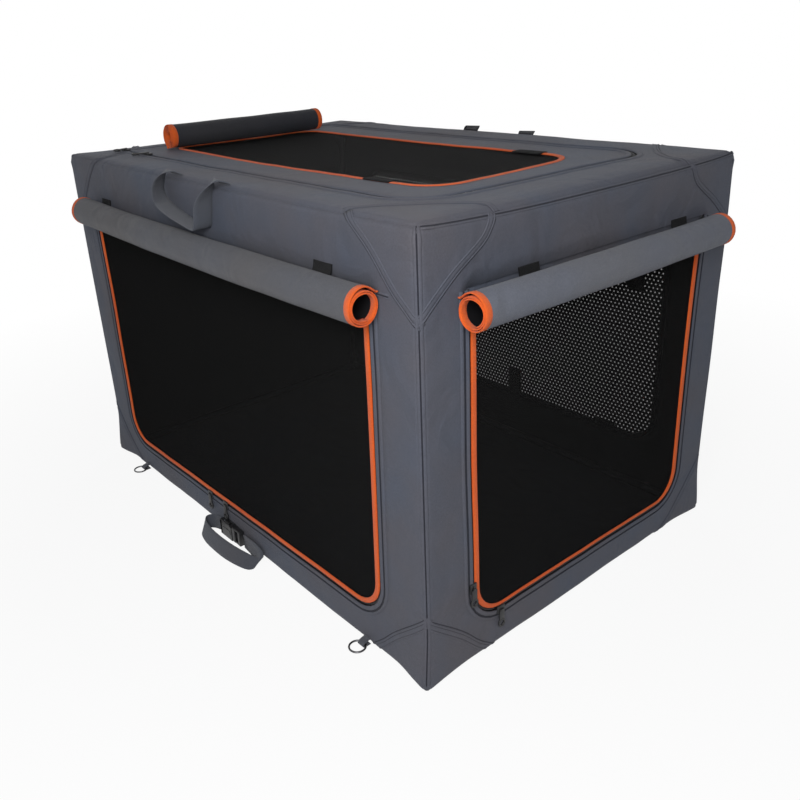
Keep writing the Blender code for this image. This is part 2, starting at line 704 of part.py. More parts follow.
def back_window():
    left = -BACK_WINDOW_HALF + GAP
    outer = rounded_box(
        left,
        -left,
        BACK_WINDOW_FOOT + GAP,
        BACK_WINDOW_HEAD - GAP,
        BACK_WINDOW_CORNER - GAP,
        BACK_WINDOW_CORNER - GAP,
    )
    inset = GAP + BINDING_WIDTH
    radius = BACK_WINDOW_CORNER - inset
    inner = rounded_box(
        -BACK_WINDOW_HALF + inset,
        BACK_WINDOW_HALF - inset,
        BACK_WINDOW_FOOT + inset,
        BACK_WINDOW_HEAD - inset,
        radius,
        radius,
    )
    inset += GAP
    radius -= GAP
    pane = rounded_box(
        -BACK_WINDOW_HALF + inset,
        BACK_WINDOW_HALF - inset,
        BACK_WINDOW_FOOT + inset,
        BACK_WINDOW_HEAD - inset,
        radius,
        radius,
    )
    binding = drawn("back_window_binding", [outer, inner], BINDING_THICKNESS)
    place(binding, BINDING_ORANGE, (0, BACK_PLANE, 0), ON_FRONT)
    mesh = drawn("back_window_mesh", [pane], MESH)
    place(mesh, MESH_BLACK, (0, BACK_PLANE, 0), ON_FRONT)


back_window()


# The roof door: a fabric panel with a mesh window, zipped on three sides


def roof_door():
    panel_outline = lying_box(-ROOF_DOOR_LEFT, ROOF_DOOR_RIGHT, ROOF_DOOR_HALF, 0, ROOF_DOOR_CORNER)
    corner = ROOF_WINDOW_CORNER

    def window(inset):
        return lying_box(
            -ROOF_WINDOW_LEFT + inset,
            ROOF_WINDOW_RIGHT - inset,
            ROOF_WINDOW_HALF - inset,
            corner - inset,
            corner - inset,
        )

    panel = drawn("roof_door_panel", [panel_outline, window(0)], FABRIC)
    place(panel, FABRIC_GREY, (0, 0, ROOF_PLANE), ON_ROOF)
    binding = drawn("roof_window_binding", [window(GAP), window(BINDING_WIDTH)], BINDING_THICKNESS)
    place(binding, BINDING_ORANGE, (0, 0, ROOF_PLANE), ON_ROOF)
    mesh = drawn("roof_window_mesh", [window(BINDING_WIDTH + GAP)], MESH)
    place(mesh, MESH_BLACK, (0, 0, ROOF_PLANE), ON_ROOF)
    outer = lying_box(
        -ROOF_DOOR_LEFT,
        ROOF_DOOR_RIGHT + ZIPPER_WIDTH - GAP,
        ROOF_DOOR_HALF + ZIPPER_WIDTH - GAP,
        0,
        ROOF_DOOR_CORNER + ZIPPER_WIDTH - GAP,
    )
    inner = lying_box(
        -ROOF_DOOR_LEFT, ROOF_DOOR_RIGHT + GAP, ROOF_DOOR_HALF + GAP, 0, ROOF_DOOR_CORNER + GAP
    )
    # Both outlines end at the left edge, so the band opens there
    zipper = drawn("roof_door_zipper", [band_from(outer, inner)], ZIPPER_THICKNESS)
    place(zipper, ZIP_BLACK, (0, 0, ROOF_PLANE), ON_ROOF)
    return [panel, binding, mesh]


def band_from(outer, inner):
    """The band between two outlines of lying_box, open along their straight left edge."""
    outer = outer[-1:] + outer[:-1]
    inner = inner[-1:] + inner[:-1]
    return outer + list(reversed(inner))


roof_door_parts = roof_door()
roof_door_axis = axis_empty("roof_door_axis", (-ROOF_DOOR_LEFT, 0, HEIGHT))
hang(roof_door_axis, roof_door_parts)


# Rolled covers


def spiral(wall_reach):
    """A rolled cover's end: x out of the face, y towards its seam, around the roll's own centre."""
    steps = round(ROLL_TURNS * TURN_STEPS)
    outer = []
    inner = []
    for step in range(steps + 1):
        turned = 2 * math.pi * step / TURN_STEPS
        angle = TAIL_ANGLE - turned
        radius = ROLL_RADIUS - ROLL_PITCH * turned / (2 * math.pi)
        direction = Vector((math.cos(angle), math.sin(angle)))
        outer.append(direction * radius)
        inner.append(direction * (radius - COVER_THICKNESS))
    # The tail leaves the roll along its tangent, and stops just short of what it is sewn to
    tangent = Vector((-math.sin(TAIL_ANGLE), math.cos(TAIL_ANGLE)))
    tail_outer = outer[0] + tangent * ((-wall_reach - outer[0].x) / tangent.x)
    tail_inner = inner[0] + tangent * ((-wall_reach - inner[0].x) / tangent.x)
    return [tuple(point) for point in [tail_outer, *outer, *reversed(inner), tail_inner]]


def cover_roll(name, half, location, rotation, wall_reach=ROLL_RADIUS):
    roll = drawn(name, [spiral(wall_reach)], 2 * half)
    return place(roll, COVER_GREY, location, rotation)


front_roll = cover_roll(
    "front_cover_roll", FRONT_ROLL_HALF, (0, -HALF_WIDTH - ROLL_OUT, ROLL_HEIGHT), FRONT_ROLL_END
)
# The back cover is sewn to the wall itself, which its tail therefore reaches
cover_roll(
    "back_cover_roll",
    FRONT_ROLL_HALF,
    (0, HALF_WIDTH + ROLL_OUT, ROLL_HEIGHT),
    BACK_ROLL_END,
    ROLL_RADIUS + BINDING_PROUD,
)
right_roll = cover_roll(
    "right_cover_roll", RIGHT_ROLL_HALF, (HALF_LENGTH + ROLL_OUT, 0, RIGHT_ROLL_HEIGHT), RIGHT_ROLL_END
)
roof_roll = cover_roll(
    "roof_cover_roll", ROOF_ROLL_HALF, (-ROOF_ROLL_CENTRE, 0, HEIGHT + ROLL_OUT), ROOF_ROLL_END
)
hang(front_door_axis, [front_roll])
hang(right_door_axis, [right_roll])
hang(roof_door_axis, [roof_roll])


# Webbing handles on the front and back edges of the roof


def handle(name, middle, side):
    """A band that hangs in a U: drawn as seen from the front, extruded by the webbing's width."""
    half = HANDLE_HALF_SPAN
    foot = -HANDLE_DROP
    outer = arc((-half + HANDLE_BEND, foot + HANDLE_BEND), HANDLE_BEND, 180, 270)
    outer += arc((half - HANDLE_BEND, foot + HANDLE_BEND), HANDLE_BEND, 270, 360)
    inner_bend = HANDLE_BEND - WEBBING
    inner = arc((half - HANDLE_BEND, foot + HANDLE_BEND), inner_bend, 360, 270)
    inner += arc((-half + HANDLE_BEND, foot + HANDLE_BEND), inner_bend, 270, 180)
    inner_half = half - WEBBING
    outline = [(-half, 0), *outer, (half, 0), (inner_half, 0), *inner, (-inner_half, 0)]
    band = drawn(name, [outline], HANDLE_WIDTH)
    y_place = side * (HALF_WIDTH + GAP + HANDLE_WIDTH / 2)
    place(band, WEB_GREY, (middle, y_place, HANDLE_TOP), ON_FRONT)
    axis = axis_empty(f"{name}_axis", (middle, side * HALF_WIDTH, HANDLE_TOP))
    hang(axis, [band])


handle("front_handle", FRONT_HANDLE_PLACE, -1)
handle("back_handle", BACK_HANDLE_PLACE, 1)


# Zip sliders: one solid, a body that rides the zipper and a pull hanging from it


def slider_mesh(name, across, along):
    half_across = across / 2
    half_along = along / 2
    body = block(name, (-half_across, -half_along, 0), (half_across, half_along, SLIDER_THICKNESS))
    pull_low = SLIDER_THICKNESS - PULL_THICKNESS - GAP
    pull_head = -half_along + OVERRUN
    pull = block(
        "pull",
        (-PULL_WIDTH / 2, pull_head - PULL_LENGTH, pull_low),
        (PULL_WIDTH / 2, pull_head, pull_low + PULL_THICKNESS),
    )
    body = joined(body, pull, "UNION")
    mesh = body.data
    bpy.data.objects.remove(body, do_unlink=True)
    mesh.materials.append(ZIP_BLACK)
    return mesh


LEVEL_SLIDER = slider_mesh("level_slider", SLIDER_LENGTH, SLIDER_WIDTH)
UPRIGHT_SLIDER = slider_mesh("upright_slider", SLIDER_WIDTH, SLIDER_LENGTH)
ZIPPER_FACE = (FABRIC - ZIPPER_THICKNESS) / 2 - GAP
ZIPPER_MIDDLE = ZIPPER_WIDTH / 2
ZIPPER_FOOT_Z = DOOR_FOOT - ZIPPER_MIDDLE
SLIDER_Y = -HALF_WIDTH + ZIPPER_FACE
SLIDER_X = HALF_LENGTH - ZIPPER_FACE
SLIDER_Z = HEIGHT - ZIPPER_FACE
ROOF_ZIP_Y = -ROOF_DOOR_HALF - ZIPPER_MIDDLE
RIGHT_ZIP_Y = -RIGHT_DOOR_HALF - ZIPPER_MIDDLE
RIGHT_SLIDER_FOOT = -RIGHT_DOOR_HALF + RIGHT_SLIDER_FOOT_OFFSET
RIGHT_SLIDER_SIDE_HEIGHT = DOOR_FOOT + RIGHT_SLIDER_SIDE_OFFSET
ROOF_SLIDER_LEFT = -ROOF_DOOR_LEFT + ROOF_SLIDER_LEFT_OFFSET
ROOF_SLIDER_RIGHT = -ROOF_DOOR_LEFT + ROOF_SLIDER_RIGHT_OFFSET


def slider(name, mesh, location, rotation):
    obj = bpy.data.objects.new(name, mesh)
    CRATE.objects.link(obj)
    obj.location = location
    obj.rotation_euler = rotation


slider("front_zip_slider_left", LEVEL_SLIDER, (FRONT_SLIDER_LEFT, SLIDER_Y, ZIPPER_FOOT_Z), ON_FRONT)
slider("front_zip_slider_right", LEVEL_SLIDER, (FRONT_SLIDER_RIGHT, SLIDER_Y, ZIPPER_FOOT_Z), ON_FRONT)
slider("right_zip_slider_foot", LEVEL_SLIDER, (SLIDER_X, RIGHT_SLIDER_FOOT, ZIPPER_FOOT_Z), ON_RIGHT)
slider("right_zip_slider_side", UPRIGHT_SLIDER, (SLIDER_X, RIGHT_ZIP_Y, RIGHT_SLIDER_SIDE_HEIGHT), ON_RIGHT)
slider("roof_zip_slider_left", LEVEL_SLIDER, (ROOF_SLIDER_LEFT, ROOF_ZIP_Y, SLIDER_Z), ON_ROOF)
slider("roof_zip_slider_right", LEVEL_SLIDER, (ROOF_SLIDER_RIGHT, ROOF_ZIP_Y, SLIDER_Z), ON_ROOF)


# Storage strap and buckle: the strap stands on its edge in a flat loop in front of the crate

BUCKLE_Y = -HALF_WIDTH - GAP - BUCKLE_DEPTH / 2
SOCKET_RIGHT = BUCKLE_LEFT + SOCKET_LENGTH
PLUG_LEFT = SOCKET_RIGHT + GAP
PLUG_RIGHT = PLUG_LEFT + PLUG_LENGTH


def strap_outline():
    """The strap's plan: from the buckle's left end round in front of the crate to the plug's outer face."""
    back = HALF_WIDTH + GAP
    inner_y = -back - BUCKLE_DEPTH / 2 + WEBBING / 2
    plug_y = -back - BUCKLE_DEPTH - GAP
    front_y = -HALF_WIDTH - STRAP_REACH
    left = STRAP_LEFT
    right = STRAP_RIGHT
    left_bend = (inner_y - front_y) / 2
    right_bend = (plug_y - front_y) / 2
    outer = arc((left + left_bend, inner_y - left_bend), left_bend, 90, 270)
    outer += arc((right - right_bend, plug_y - right_bend), right_bend, 270, 450)
    left_thin = left_bend - WEBBING
    right_thin = right_bend - WEBBING
    inner = arc((right - right_bend, plug_y - right_bend), right_thin, 450, 270)
    inner += arc((left + left_bend, inner_y - left_bend), left_thin, 270, 90)
    start = BUCKLE_LEFT - GAP
    end = PLUG_LEFT + PLUG_LENGTH / 3
    return [
        (start, inner_y),
        *outer,
        (end, plug_y),
        (end, plug_y - WEBBING),
        *inner,
        (start, inner_y - WEBBING),
    ]


strap = drawn("storage_strap", [strap_outline()], STRAP_WIDTH)
place(strap, WEB_GREY, (0, 0, STRAP_WIDTH / 2), ON_ROOF)


def socket():
    half = BUCKLE_DEPTH / 2
    body = block("buckle_socket", (BUCKLE_LEFT, -half, 0), (SOCKET_RIGHT, half, BUCKLE_HEIGHT))
    hole = block(
        "socket_hole",
        (PLUG_LEFT - PRONG_LENGTH - OVERRUN, -half + BUCKLE_WALL, BUCKLE_WALL),
        (SOCKET_RIGHT + OVERRUN, half - BUCKLE_WALL, BUCKLE_HEIGHT - BUCKLE_WALL),
    )
    body = joined(body, hole, "DIFFERENCE")
    place(body, PLASTIC, (0, BUCKLE_Y, 0))


def plug():
    half = BUCKLE_DEPTH / 2
    play = BUCKLE_WALL + BUCKLE_PLAY
    body = block("buckle_plug", (PLUG_LEFT, -half, 0), (PLUG_RIGHT, half, BUCKLE_HEIGHT))
    prong = block(
        "prong",
        (PLUG_LEFT - PRONG_LENGTH, -half + play, play),
        (PLUG_LEFT + OVERRUN, half - play, BUCKLE_HEIGHT - play),
    )
    body = joined(body, prong, "UNION")
    place(body, PLASTIC, (0, BUCKLE_Y, 0))


socket()
plug()


# Stake rings, each lying flat through its webbing loop


def stake_ring(name, side):
    bpy.ops.mesh.primitive_torus_add(
        major_segments=TURN_STEPS,
        minor_segments=TUBE_SIDES // 2,
        major_radius=RING_RADIUS,
        minor_radius=RING_WIRE,
    )
    ring = bpy.context.object
    for collection in list(ring.users_collection):
        collection.objects.unlink(ring)
    CRATE.objects.link(ring)
    ring.name = name
    pivot_y = -HALF_WIDTH - LOOP_REACH / 2
    place(ring, RING_STEEL, (side * RING_PLACE, pivot_y - RING_RADIUS, RING_HEIGHT))
    ring.data.shade_smooth()
    axis = axis_empty(f"{name}_axis", (side * RING_PLACE, pivot_y, RING_HEIGHT))
    hang(axis, [ring])


stake_ring("stake_ring_left", -1)
stake_ring("stake_ring_right", 1)
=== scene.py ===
"""The soft folding dog crate as it looks: its cloth, mesh, zips and webbing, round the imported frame."""

import math
from functools import partial

import bmesh
import bpy
import numpy as np
from mathutils import Matrix, Vector, noise
from mathutils.geometry import delaunay_2d_cdt


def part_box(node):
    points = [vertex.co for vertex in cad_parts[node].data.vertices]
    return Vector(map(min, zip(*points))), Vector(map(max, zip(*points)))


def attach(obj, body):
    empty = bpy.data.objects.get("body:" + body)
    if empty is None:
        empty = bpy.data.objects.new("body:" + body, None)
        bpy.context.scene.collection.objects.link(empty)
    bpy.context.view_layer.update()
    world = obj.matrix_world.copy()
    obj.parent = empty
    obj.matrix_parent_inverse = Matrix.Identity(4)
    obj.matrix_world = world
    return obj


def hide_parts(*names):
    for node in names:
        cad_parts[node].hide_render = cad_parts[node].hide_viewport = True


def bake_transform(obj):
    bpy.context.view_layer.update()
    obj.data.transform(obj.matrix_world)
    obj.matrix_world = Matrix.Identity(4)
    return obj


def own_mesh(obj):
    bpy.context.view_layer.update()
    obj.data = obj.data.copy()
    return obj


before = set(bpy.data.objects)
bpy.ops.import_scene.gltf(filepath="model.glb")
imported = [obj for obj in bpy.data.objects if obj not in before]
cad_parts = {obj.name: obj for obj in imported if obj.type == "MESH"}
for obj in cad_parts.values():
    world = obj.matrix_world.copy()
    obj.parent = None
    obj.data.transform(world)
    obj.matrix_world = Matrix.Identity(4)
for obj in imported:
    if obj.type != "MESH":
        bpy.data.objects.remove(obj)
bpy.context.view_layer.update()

# The studio. A white floor and backdrop, a soft key lamp and a fill lamp behind, and a camera that stands
# where the photographer stood: near the crate's front right corner, a little above its roof.
CAMERA_AZIMUTH = math.radians(51.089)
CAMERA_ELEVATION = math.radians(22.776)
CAMERA_ROLL = math.radians(-2.791)
CAMERA_DISTANCE = 1.3814
CAMERA_AIM = Vector((0.0499, -0.0300, 0.2248))
PICTURE_WIDTH = 800
FOCAL_PIXELS = 816.10
PRINCIPAL_POINT = (380, 375)
WHITE = (1, 1, 1, 1)
PAPER_COLOUR = (0.86, 0.86, 0.86, 1)
SKY_COLOUR = (0.93, 0.96, 1.0, 1)
SKY_STRENGTH = 0.235
FLOOR_SIZE = 60.0
GLOW_NEAR = 0.90
GLOW_FROM = 0.6
GLOW_TO = 1.5
UP = Vector((0, 0, 1))


def add_node(tree, kind, inputs=None, **settings):
    """A shader node with its inputs set to values, or linked where a value is another node's output."""
    node = tree.nodes.new(kind)
    for name, value in settings.items():
        setattr(node, name, value)
    for name, value in (inputs or {}).items():
        if isinstance(value, bpy.types.NodeSocket):
            tree.links.new(value, node.inputs[name])
        else:
            node.inputs[name].default_value = value
    return node


def maths(tree, operation, *values):
    return add_node(tree, "ShaderNodeMath", dict(enumerate(values)), operation=operation).outputs[0]


def vector_maths(tree, operation, *values, result="Vector"):
    node = add_node(tree, "ShaderNodeVectorMath", dict(enumerate(values)), operation=operation)
    return node.outputs[result]


def seen_mask(tree):
    """1 for the rays that show the white background: from the camera, and in metal and glass."""
    rays = add_node(tree, "ShaderNodeLightPath").outputs
    shiny = maths(tree, "MAXIMUM", rays["Is Glossy Ray"], rays["Is Transmission Ray"])
    return maths(tree, "MAXIMUM", rays["Is Camera Ray"], shiny)


def show_mixed(tree, output, share, first, second):
    both = add_node(tree, "ShaderNodeMixShader", {0: share, 1: first.outputs[0], 2: second.outputs[0]})
    add_node(tree, output, {"Surface": both.outputs[0]})


def new_object(name, data):
    obj = bpy.data.objects.new(name, data)
    bpy.context.scene.collection.objects.link(obj)
    return obj


def studio_world():
    world = bpy.data.worlds.new("studio")
    world.use_nodes = True
    tree = world.node_tree
    tree.nodes.clear()
    soft = add_node(tree, "ShaderNodeBackground", {"Color": SKY_COLOUR, "Strength": SKY_STRENGTH})
    white = add_node(tree, "ShaderNodeBackground", {"Color": WHITE, "Strength": 1.0})
    show_mixed(tree, "ShaderNodeOutputWorld", seen_mask(tree), soft, white)
    bpy.context.scene.world = world


def studio_floor():
    work = bmesh.new()
    bmesh.ops.create_grid(work, x_segments=1, y_segments=1, size=FLOOR_SIZE / 2)
    mesh = bpy.data.meshes.new("studio_floor")
    work.to_mesh(mesh)
    work.free()
    material = bpy.data.materials.new("studio_paper")
    material.use_nodes = True
    tree = material.node_tree
    tree.nodes.clear()
    paper = add_node(tree, "ShaderNodeBsdfDiffuse", {"Color": PAPER_COLOUR})
    glow = add_node(tree, "ShaderNodeEmission", {"Color": WHITE, "Strength": 1.0})
    place = add_node(tree, "ShaderNodeTexCoord").outputs["Object"]
    away = vector_maths(tree, "LENGTH", place, result="Value")
    faded = add_node(tree, "ShaderNodeMapRange", {0: away, 1: GLOW_FROM, 2: GLOW_TO, 3: GLOW_NEAR, 4: 1.0})
    share = maths(tree, "MULTIPLY", seen_mask(tree), faded.outputs[0])
    show_mixed(tree, "ShaderNodeOutputMaterial", share, paper, glow)
    mesh.materials.append(material)
    new_object("studio_floor", mesh)


def soft_lamp(name, place, size, power):
    lamp = bpy.data.lights.new(name, "AREA")
    lamp.shape = "SQUARE"
    lamp.size = size
    lamp.energy = power
    obj = new_object(name, lamp)
    obj.location = place
    obj.rotation_euler = (Vector(place) - CAMERA_AIM).to_track_quat("Z", "Y").to_euler()


def studio_camera():
    level = math.cos(CAMERA_ELEVATION)
    across, away = math.sin(CAMERA_AZIMUTH) * level, -math.cos(CAMERA_AZIMUTH) * level
    back = Vector((across, away, math.sin(CAMERA_ELEVATION)))
    right = (-back).cross(UP).normalized()
    over = right.cross(-back)
    right, over = (
        right * math.cos(CAMERA_ROLL) + over * math.sin(CAMERA_ROLL),
        over * math.cos(CAMERA_ROLL) - right * math.sin(CAMERA_ROLL),
    )
    data = bpy.data.cameras.new("camera")
    data.lens = FOCAL_PIXELS / PICTURE_WIDTH * data.sensor_width
    data.shift_x = 0.5 - PRINCIPAL_POINT[0] / PICTURE_WIDTH
    data.shift_y = PRINCIPAL_POINT[1] / PICTURE_WIDTH - 0.5
    camera = new_object("camera", data)
    turned = Matrix((right, over, back)).transposed().to_4x4()
    camera.matrix_world = Matrix.Translation(CAMERA_AIM + back * CAMERA_DISTANCE) @ turned
    bpy.context.scene.camera = camera


bpy.context.scene.view_settings.view_transform = "Standard"
studio_world()
studio_floor()
soft_lamp("key_lamp", (1.02, -1.0, 0.98), size=0.6, power=15)
soft_lamp("fill_lamp", (-1.8, 1.7, 0.28), size=0.5, power=20)
studio_camera()


# The shell. Coated grey polyester is cut in flat panels, sewn along the crate's edges and drawn over
# the tube frame, so its edges are round, its top edges dip between the corners, and it is never quite flat.
HALF_LENGTH, HALF_WIDTH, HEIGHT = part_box("roof_border")[1]
POST_X = sum(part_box("right_bottom_rail"), Vector()).x / 2
POST_Y = sum(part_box("back_bottom_rail"), Vector()).y / 2
EDGE = 0.011
FOOT_SEAM = EDGE * (1 - math.pi / 4)
TOP_SEAM = HEIGHT - FOOT_SEAM
CLOTH = 0.0011
PANEL_STEP = 0.016
# How far the top edges of the short and the long walls and the roof dip, and the walls bow in; a band says
# how near the edge this sets in
END_SAG = 0.0075
SIDE_SAG = 0.0030
ROOF_SAG = 0.0065
WALL_BOW = 0.0030
SAG_BAND = (0.075, 0.008)
BOW_BAND = (0.05, 0.02)
ROOF_BAND = 0.02
# At the foot of each corner the cloth spreads lengthways and sideways, and sinks to the floor
FOOT_FLARE = (0.003, 0.007)
FLARE_REACH = 0.07
FLARE_HEIGHT = 0.09
FLARE_SINK = 0.85
SWELL, SWELL_SCALE = 0.0011, 8.0
CREASE, CREASE_SCALE, CREASE_SCALE_UP = 0.0005, 26, 9
# The crate's near right corner pulls the two doors by it up and away: which way it lies, and by how much
PULLS = {"front": (1, 0.007, 0.006), "right": (-1, 0.010, 0.004)}
PULL_START = 0.07
PULL_AWAY_FADE, PULL_AWAY_TOP = (0.12, 0.50), 0.5
PULL_UP_FADE, PULL_UP_FOOT, PULL_UP_HEAD = (0.10, 0.75), (0.0, 0.05), (0.08, 0.45)
X = Vector((1, 0, 0))
Y = Vector((0, 1, 0))
# Each wall's direction along it, the one out of it, half its length, and how far it stands from the middle
FACES = {
    "front": (X, -Y, HALF_LENGTH, HALF_WIDTH),
    "back": (-X, Y, HALF_LENGTH, HALF_WIDTH),
    "right": (Y, X, HALF_WIDTH, HALF_LENGTH),
    "left": (-Y, -X, HALF_WIDTH, HALF_LENGTH),
}


def rise(value, start, end):
    """0 before start, 1 after end, smooth between."""
    share = min(1.0, max(0.0, (value - start) / (end - start)))
    return share * share * (3 - 2 * share)


def slack(point, normal):
    """Where a point of the skin really lies, since cloth dips and swells between what holds it."""
    x, y, z = point
    across_length = 1 - abs(x / HALF_LENGTH) ** 3
    across_width = 1 - abs(y / HALF_WIDTH) ** 3
    near_top = rise(z, HEIGHT - SAG_BAND[0], HEIGHT - SAG_BAND[1])
    end_edge = rise(abs(x), POST_X, HALF_LENGTH)
    side_edge = rise(abs(y), POST_Y, HALF_WIDTH)
    drop = near_top * (END_SAG * end_edge * across_width + SIDE_SAG * side_edge * across_length)
    between = max(0.0, 1 - (x / POST_X) ** 2) * max(0.0, 1 - (y / POST_Y) ** 2)
    drop += ROOF_SAG * rise(z, HEIGHT - ROOF_BAND, HEIGHT) * between
    bow = WALL_BOW * math.sin(math.pi * min(1.0, max(0.0, z / HEIGHT)))
    inward_y = bow * across_length * rise(abs(y), HALF_WIDTH - BOW_BAND[0], HALF_WIDTH - BOW_BAND[1])
    inward_x = bow * across_width * rise(abs(x), HALF_LENGTH - BOW_BAND[0], HALF_LENGTH - BOW_BAND[1])
    swell = SWELL * noise.noise(Vector((x, y, z)) * SWELL_SCALE)
    swell += CREASE * noise.noise(Vector((x * CREASE_SCALE, y * CREASE_SCALE, z * CREASE_SCALE_UP)))
    foot = rise(abs(x), HALF_LENGTH - FLARE_REACH, HALF_LENGTH)
    foot *= rise(abs(y), HALF_WIDTH - FLARE_REACH, HALF_WIDTH) * (1 - rise(z, 0.0, FLARE_HEIGHT))
    drop += FLARE_SINK * foot * min(z, EDGE / 2)
    outward_x = math.copysign(1, x) * (foot * FOOT_FLARE[0] - inward_x)
    outward_y = math.copysign(1, y) * (foot * FOOT_FLARE[1] - inward_y)
    return Vector((x + outward_x, y + outward_y, z - drop)) + normal * swell


def wall_point(face, u, v, lift=0.0):
    """A point on a wall: u runs round the crate from the wall's middle, v up it, and lift stands off it."""
    along, out, half, reach = FACES[face]
    if face in PULLS:
        towards, across, over = PULLS[face]
        away = half - towards * u
        hold = rise(away, 0.0, PULL_START)
        u -= towards * across * hold * (1 - rise(away, *PULL_AWAY_FADE)) * max(0.0, 1 - v / PULL_AWAY_TOP)
        upwards = over * hold * (1 - rise(away, *PULL_UP_FADE))
        v += upwards * rise(v, *PULL_UP_FOOT) * (1 - rise(v, *PULL_UP_HEAD))
    flat = half - EDGE
    turned = min(max(abs(u) - flat, 0.0) / EDGE, math.pi / 2)
    tilted = max(v - HEIGHT + EDGE, 0.0) / EDGE - max(EDGE - v, 0.0) / EDGE
    level = out * math.cos(turned) + along * math.copysign(math.sin(turned), u)
    normal = level * math.cos(tilted) + UP * math.sin(tilted)
    centre = along * min(max(u, -flat), flat) + out * (reach - EDGE)
    centre += UP * min(max(v, EDGE), HEIGHT - EDGE)
    return slack(centre + normal * EDGE, normal) + normal * lift


def roof_point(x, y, lift=0.0, side=1):
    """A point on the roof, or with side -1 on the underside, by its plan."""
    flat_x = HALF_LENGTH - EDGE
    flat_y = HALF_WIDTH - EDGE
    past_x = max(abs(x) - flat_x, 0.0)
    past_y = max(abs(y) - flat_y, 0.0)
    stands = math.sqrt(max(EDGE**2 - past_x**2 - past_y**2, 0.0))
    normal = Vector((math.copysign(past_x, x), math.copysign(past_y, y), side * stands)) / EDGE
    centre = Vector((math.copysign(min(abs(x), flat_x), x), math.copysign(min(abs(y), flat_y), y), 0))
    centre.z = HEIGHT - EDGE if side > 0 else EDGE
    return slack(centre + normal * EDGE, normal) + normal * lift


def evenly(start, end, step):
    count = max(1, round(abs(end - start) / step))
    return [start + (end - start) * index / count for index in range(count + 1)]


def lines_in(low, high, step):
    """Even grid lines both ways across a box of two flat points."""
    return [evenly(low[k], high[k], step) for k in (0, 1)]


BEND_SHARES = (0.34, 0.67, 1.0)
WALL_BENDS = [EDGE * math.pi / 4 * share for share in BEND_SHARES]
HEIGHT_LINES = [EDGE - bend for bend in reversed(WALL_BENDS)]
HEIGHT_LINES += evenly(EDGE, HEIGHT - EDGE, PANEL_STEP)
HEIGHT_LINES += [HEIGHT - EDGE + bend for bend in WALL_BENDS]


def grid_lines(half, bends):
    """Grid lines across a panel: even on the flat, close together where its edges bend round."""
    flat = half - EDGE
    ends = [flat + bend for bend in bends]
    return [-value for value in reversed(ends)] + evenly(-flat, flat, PANEL_STEP) + ends


ARC_STEPS = 8


def bent(corners, radii, closed=False, step=PANEL_STEP):
    """A path through corner points, with each corner rounded, as points no further apart than a step."""
    corners = [Vector(corner) for corner in corners]
    if not hasattr(radii, "__len__"):
        radii = [radii] * (len(corners) if closed else len(corners) - 2)
    path = [] if closed else [corners[0]]
    turns = range(len(corners)) if closed else range(1, len(corners) - 1)
    for radius, index in zip(radii, turns):
        here = corners[index]
        to_last = (corners[index - 1] - here).normalized()
        to_next = (corners[(index + 1) % len(corners)] - here).normalized()
        if radius <= 0:
            path.append(here)
            continue
        half_angle = to_last.angle(to_next) / 2
        centre = here + (to_last + to_next).normalized() * radius / math.sin(half_angle)
        start = here + to_last * radius / math.tan(half_angle) - centre
        end = here + to_next * radius / math.tan(half_angle) - centre
        for piece in range(ARC_STEPS + 1):
            path.append(centre + start.normalized().slerp(end.normalized(), piece / ARC_STEPS) * radius)
    if not closed:
        path.append(corners[-1])
    pairs = zip(path, path[1:] + path[:1]) if closed else zip(path, path[1:])
    filled = []
    for first, second in pairs:
        count = max(1, math.ceil((second - first).length / step))
        filled += [first.lerp(second, share / count) for share in range(count)]
    return filled if closed else filled + [path[-1]]


def rounded(low, high, corner, inset=0.0, step=PANEL_STEP):
    """A closed outline with four round corners, this far inside the box between two flat points."""
    left, foot = low[0] + inset, low[1] + inset
    right, head = high[0] - inset, high[1] - inset
    return bent([(left, foot), (right, foot), (right, head), (left, head)], corner, True, step)


def make(name, shapes, materials):
    """One mesh object from shapes, each of points, faces, a flat place for each face corner, and finishes."""
    points, faces, places, finishes = [], [], [], []
    for shape in shapes:
        start = len(points)
        points += shape["points"]
        faces += [[start + index for index in face] for face in shape["faces"]]
        places += shape["places"]
        finishes += shape.get("finishes") or [0] * len(shape["faces"])
    mesh = bpy.data.meshes.new(name)
    mesh.from_pydata(points, [], faces)
    cut = mesh.uv_layers.new(name="cut")
    cut.data.foreach_set("uv", np.array(places, np.float32).ravel())
    for material in materials:
        mesh.materials.append(material)
    mesh.polygons.foreach_set("material_index", finishes)
    mesh.shade_smooth()
    mesh.update()
    return new_object(name, mesh)


def parity(points, rings):
    """Whether each point lies inside an odd number of rings."""
    inside = np.zeros(len(points), bool)
    for ring in rings:
        first = np.array(ring)
        second = np.roll(first, -1, axis=0)
        for (x1, y1), (x2, y2) in zip(first, second):
            if y1 != y2:
                crosses = (points[:, 1] > y1) != (points[:, 1] > y2)
                reach = x1 + (points[:, 1] - y1) / (y2 - y1) * (x2 - x1)
                inside ^= crosses & (points[:, 0] < reach)
    return inside


def border_distance(points, rings):
    nearest = np.full(len(points), 1e9)
    for ring in rings:
        first = np.array(ring)
        second = np.roll(first, -1, axis=0)
        for start, end in zip(first, second):
            side = end - start
            share = np.clip((points - start) @ side / max(side @ side, 1e-18), 0, 1)
            nearest = np.minimum(nearest, np.hypot(*(points - start - share[:, None] * side).T))
    return nearest


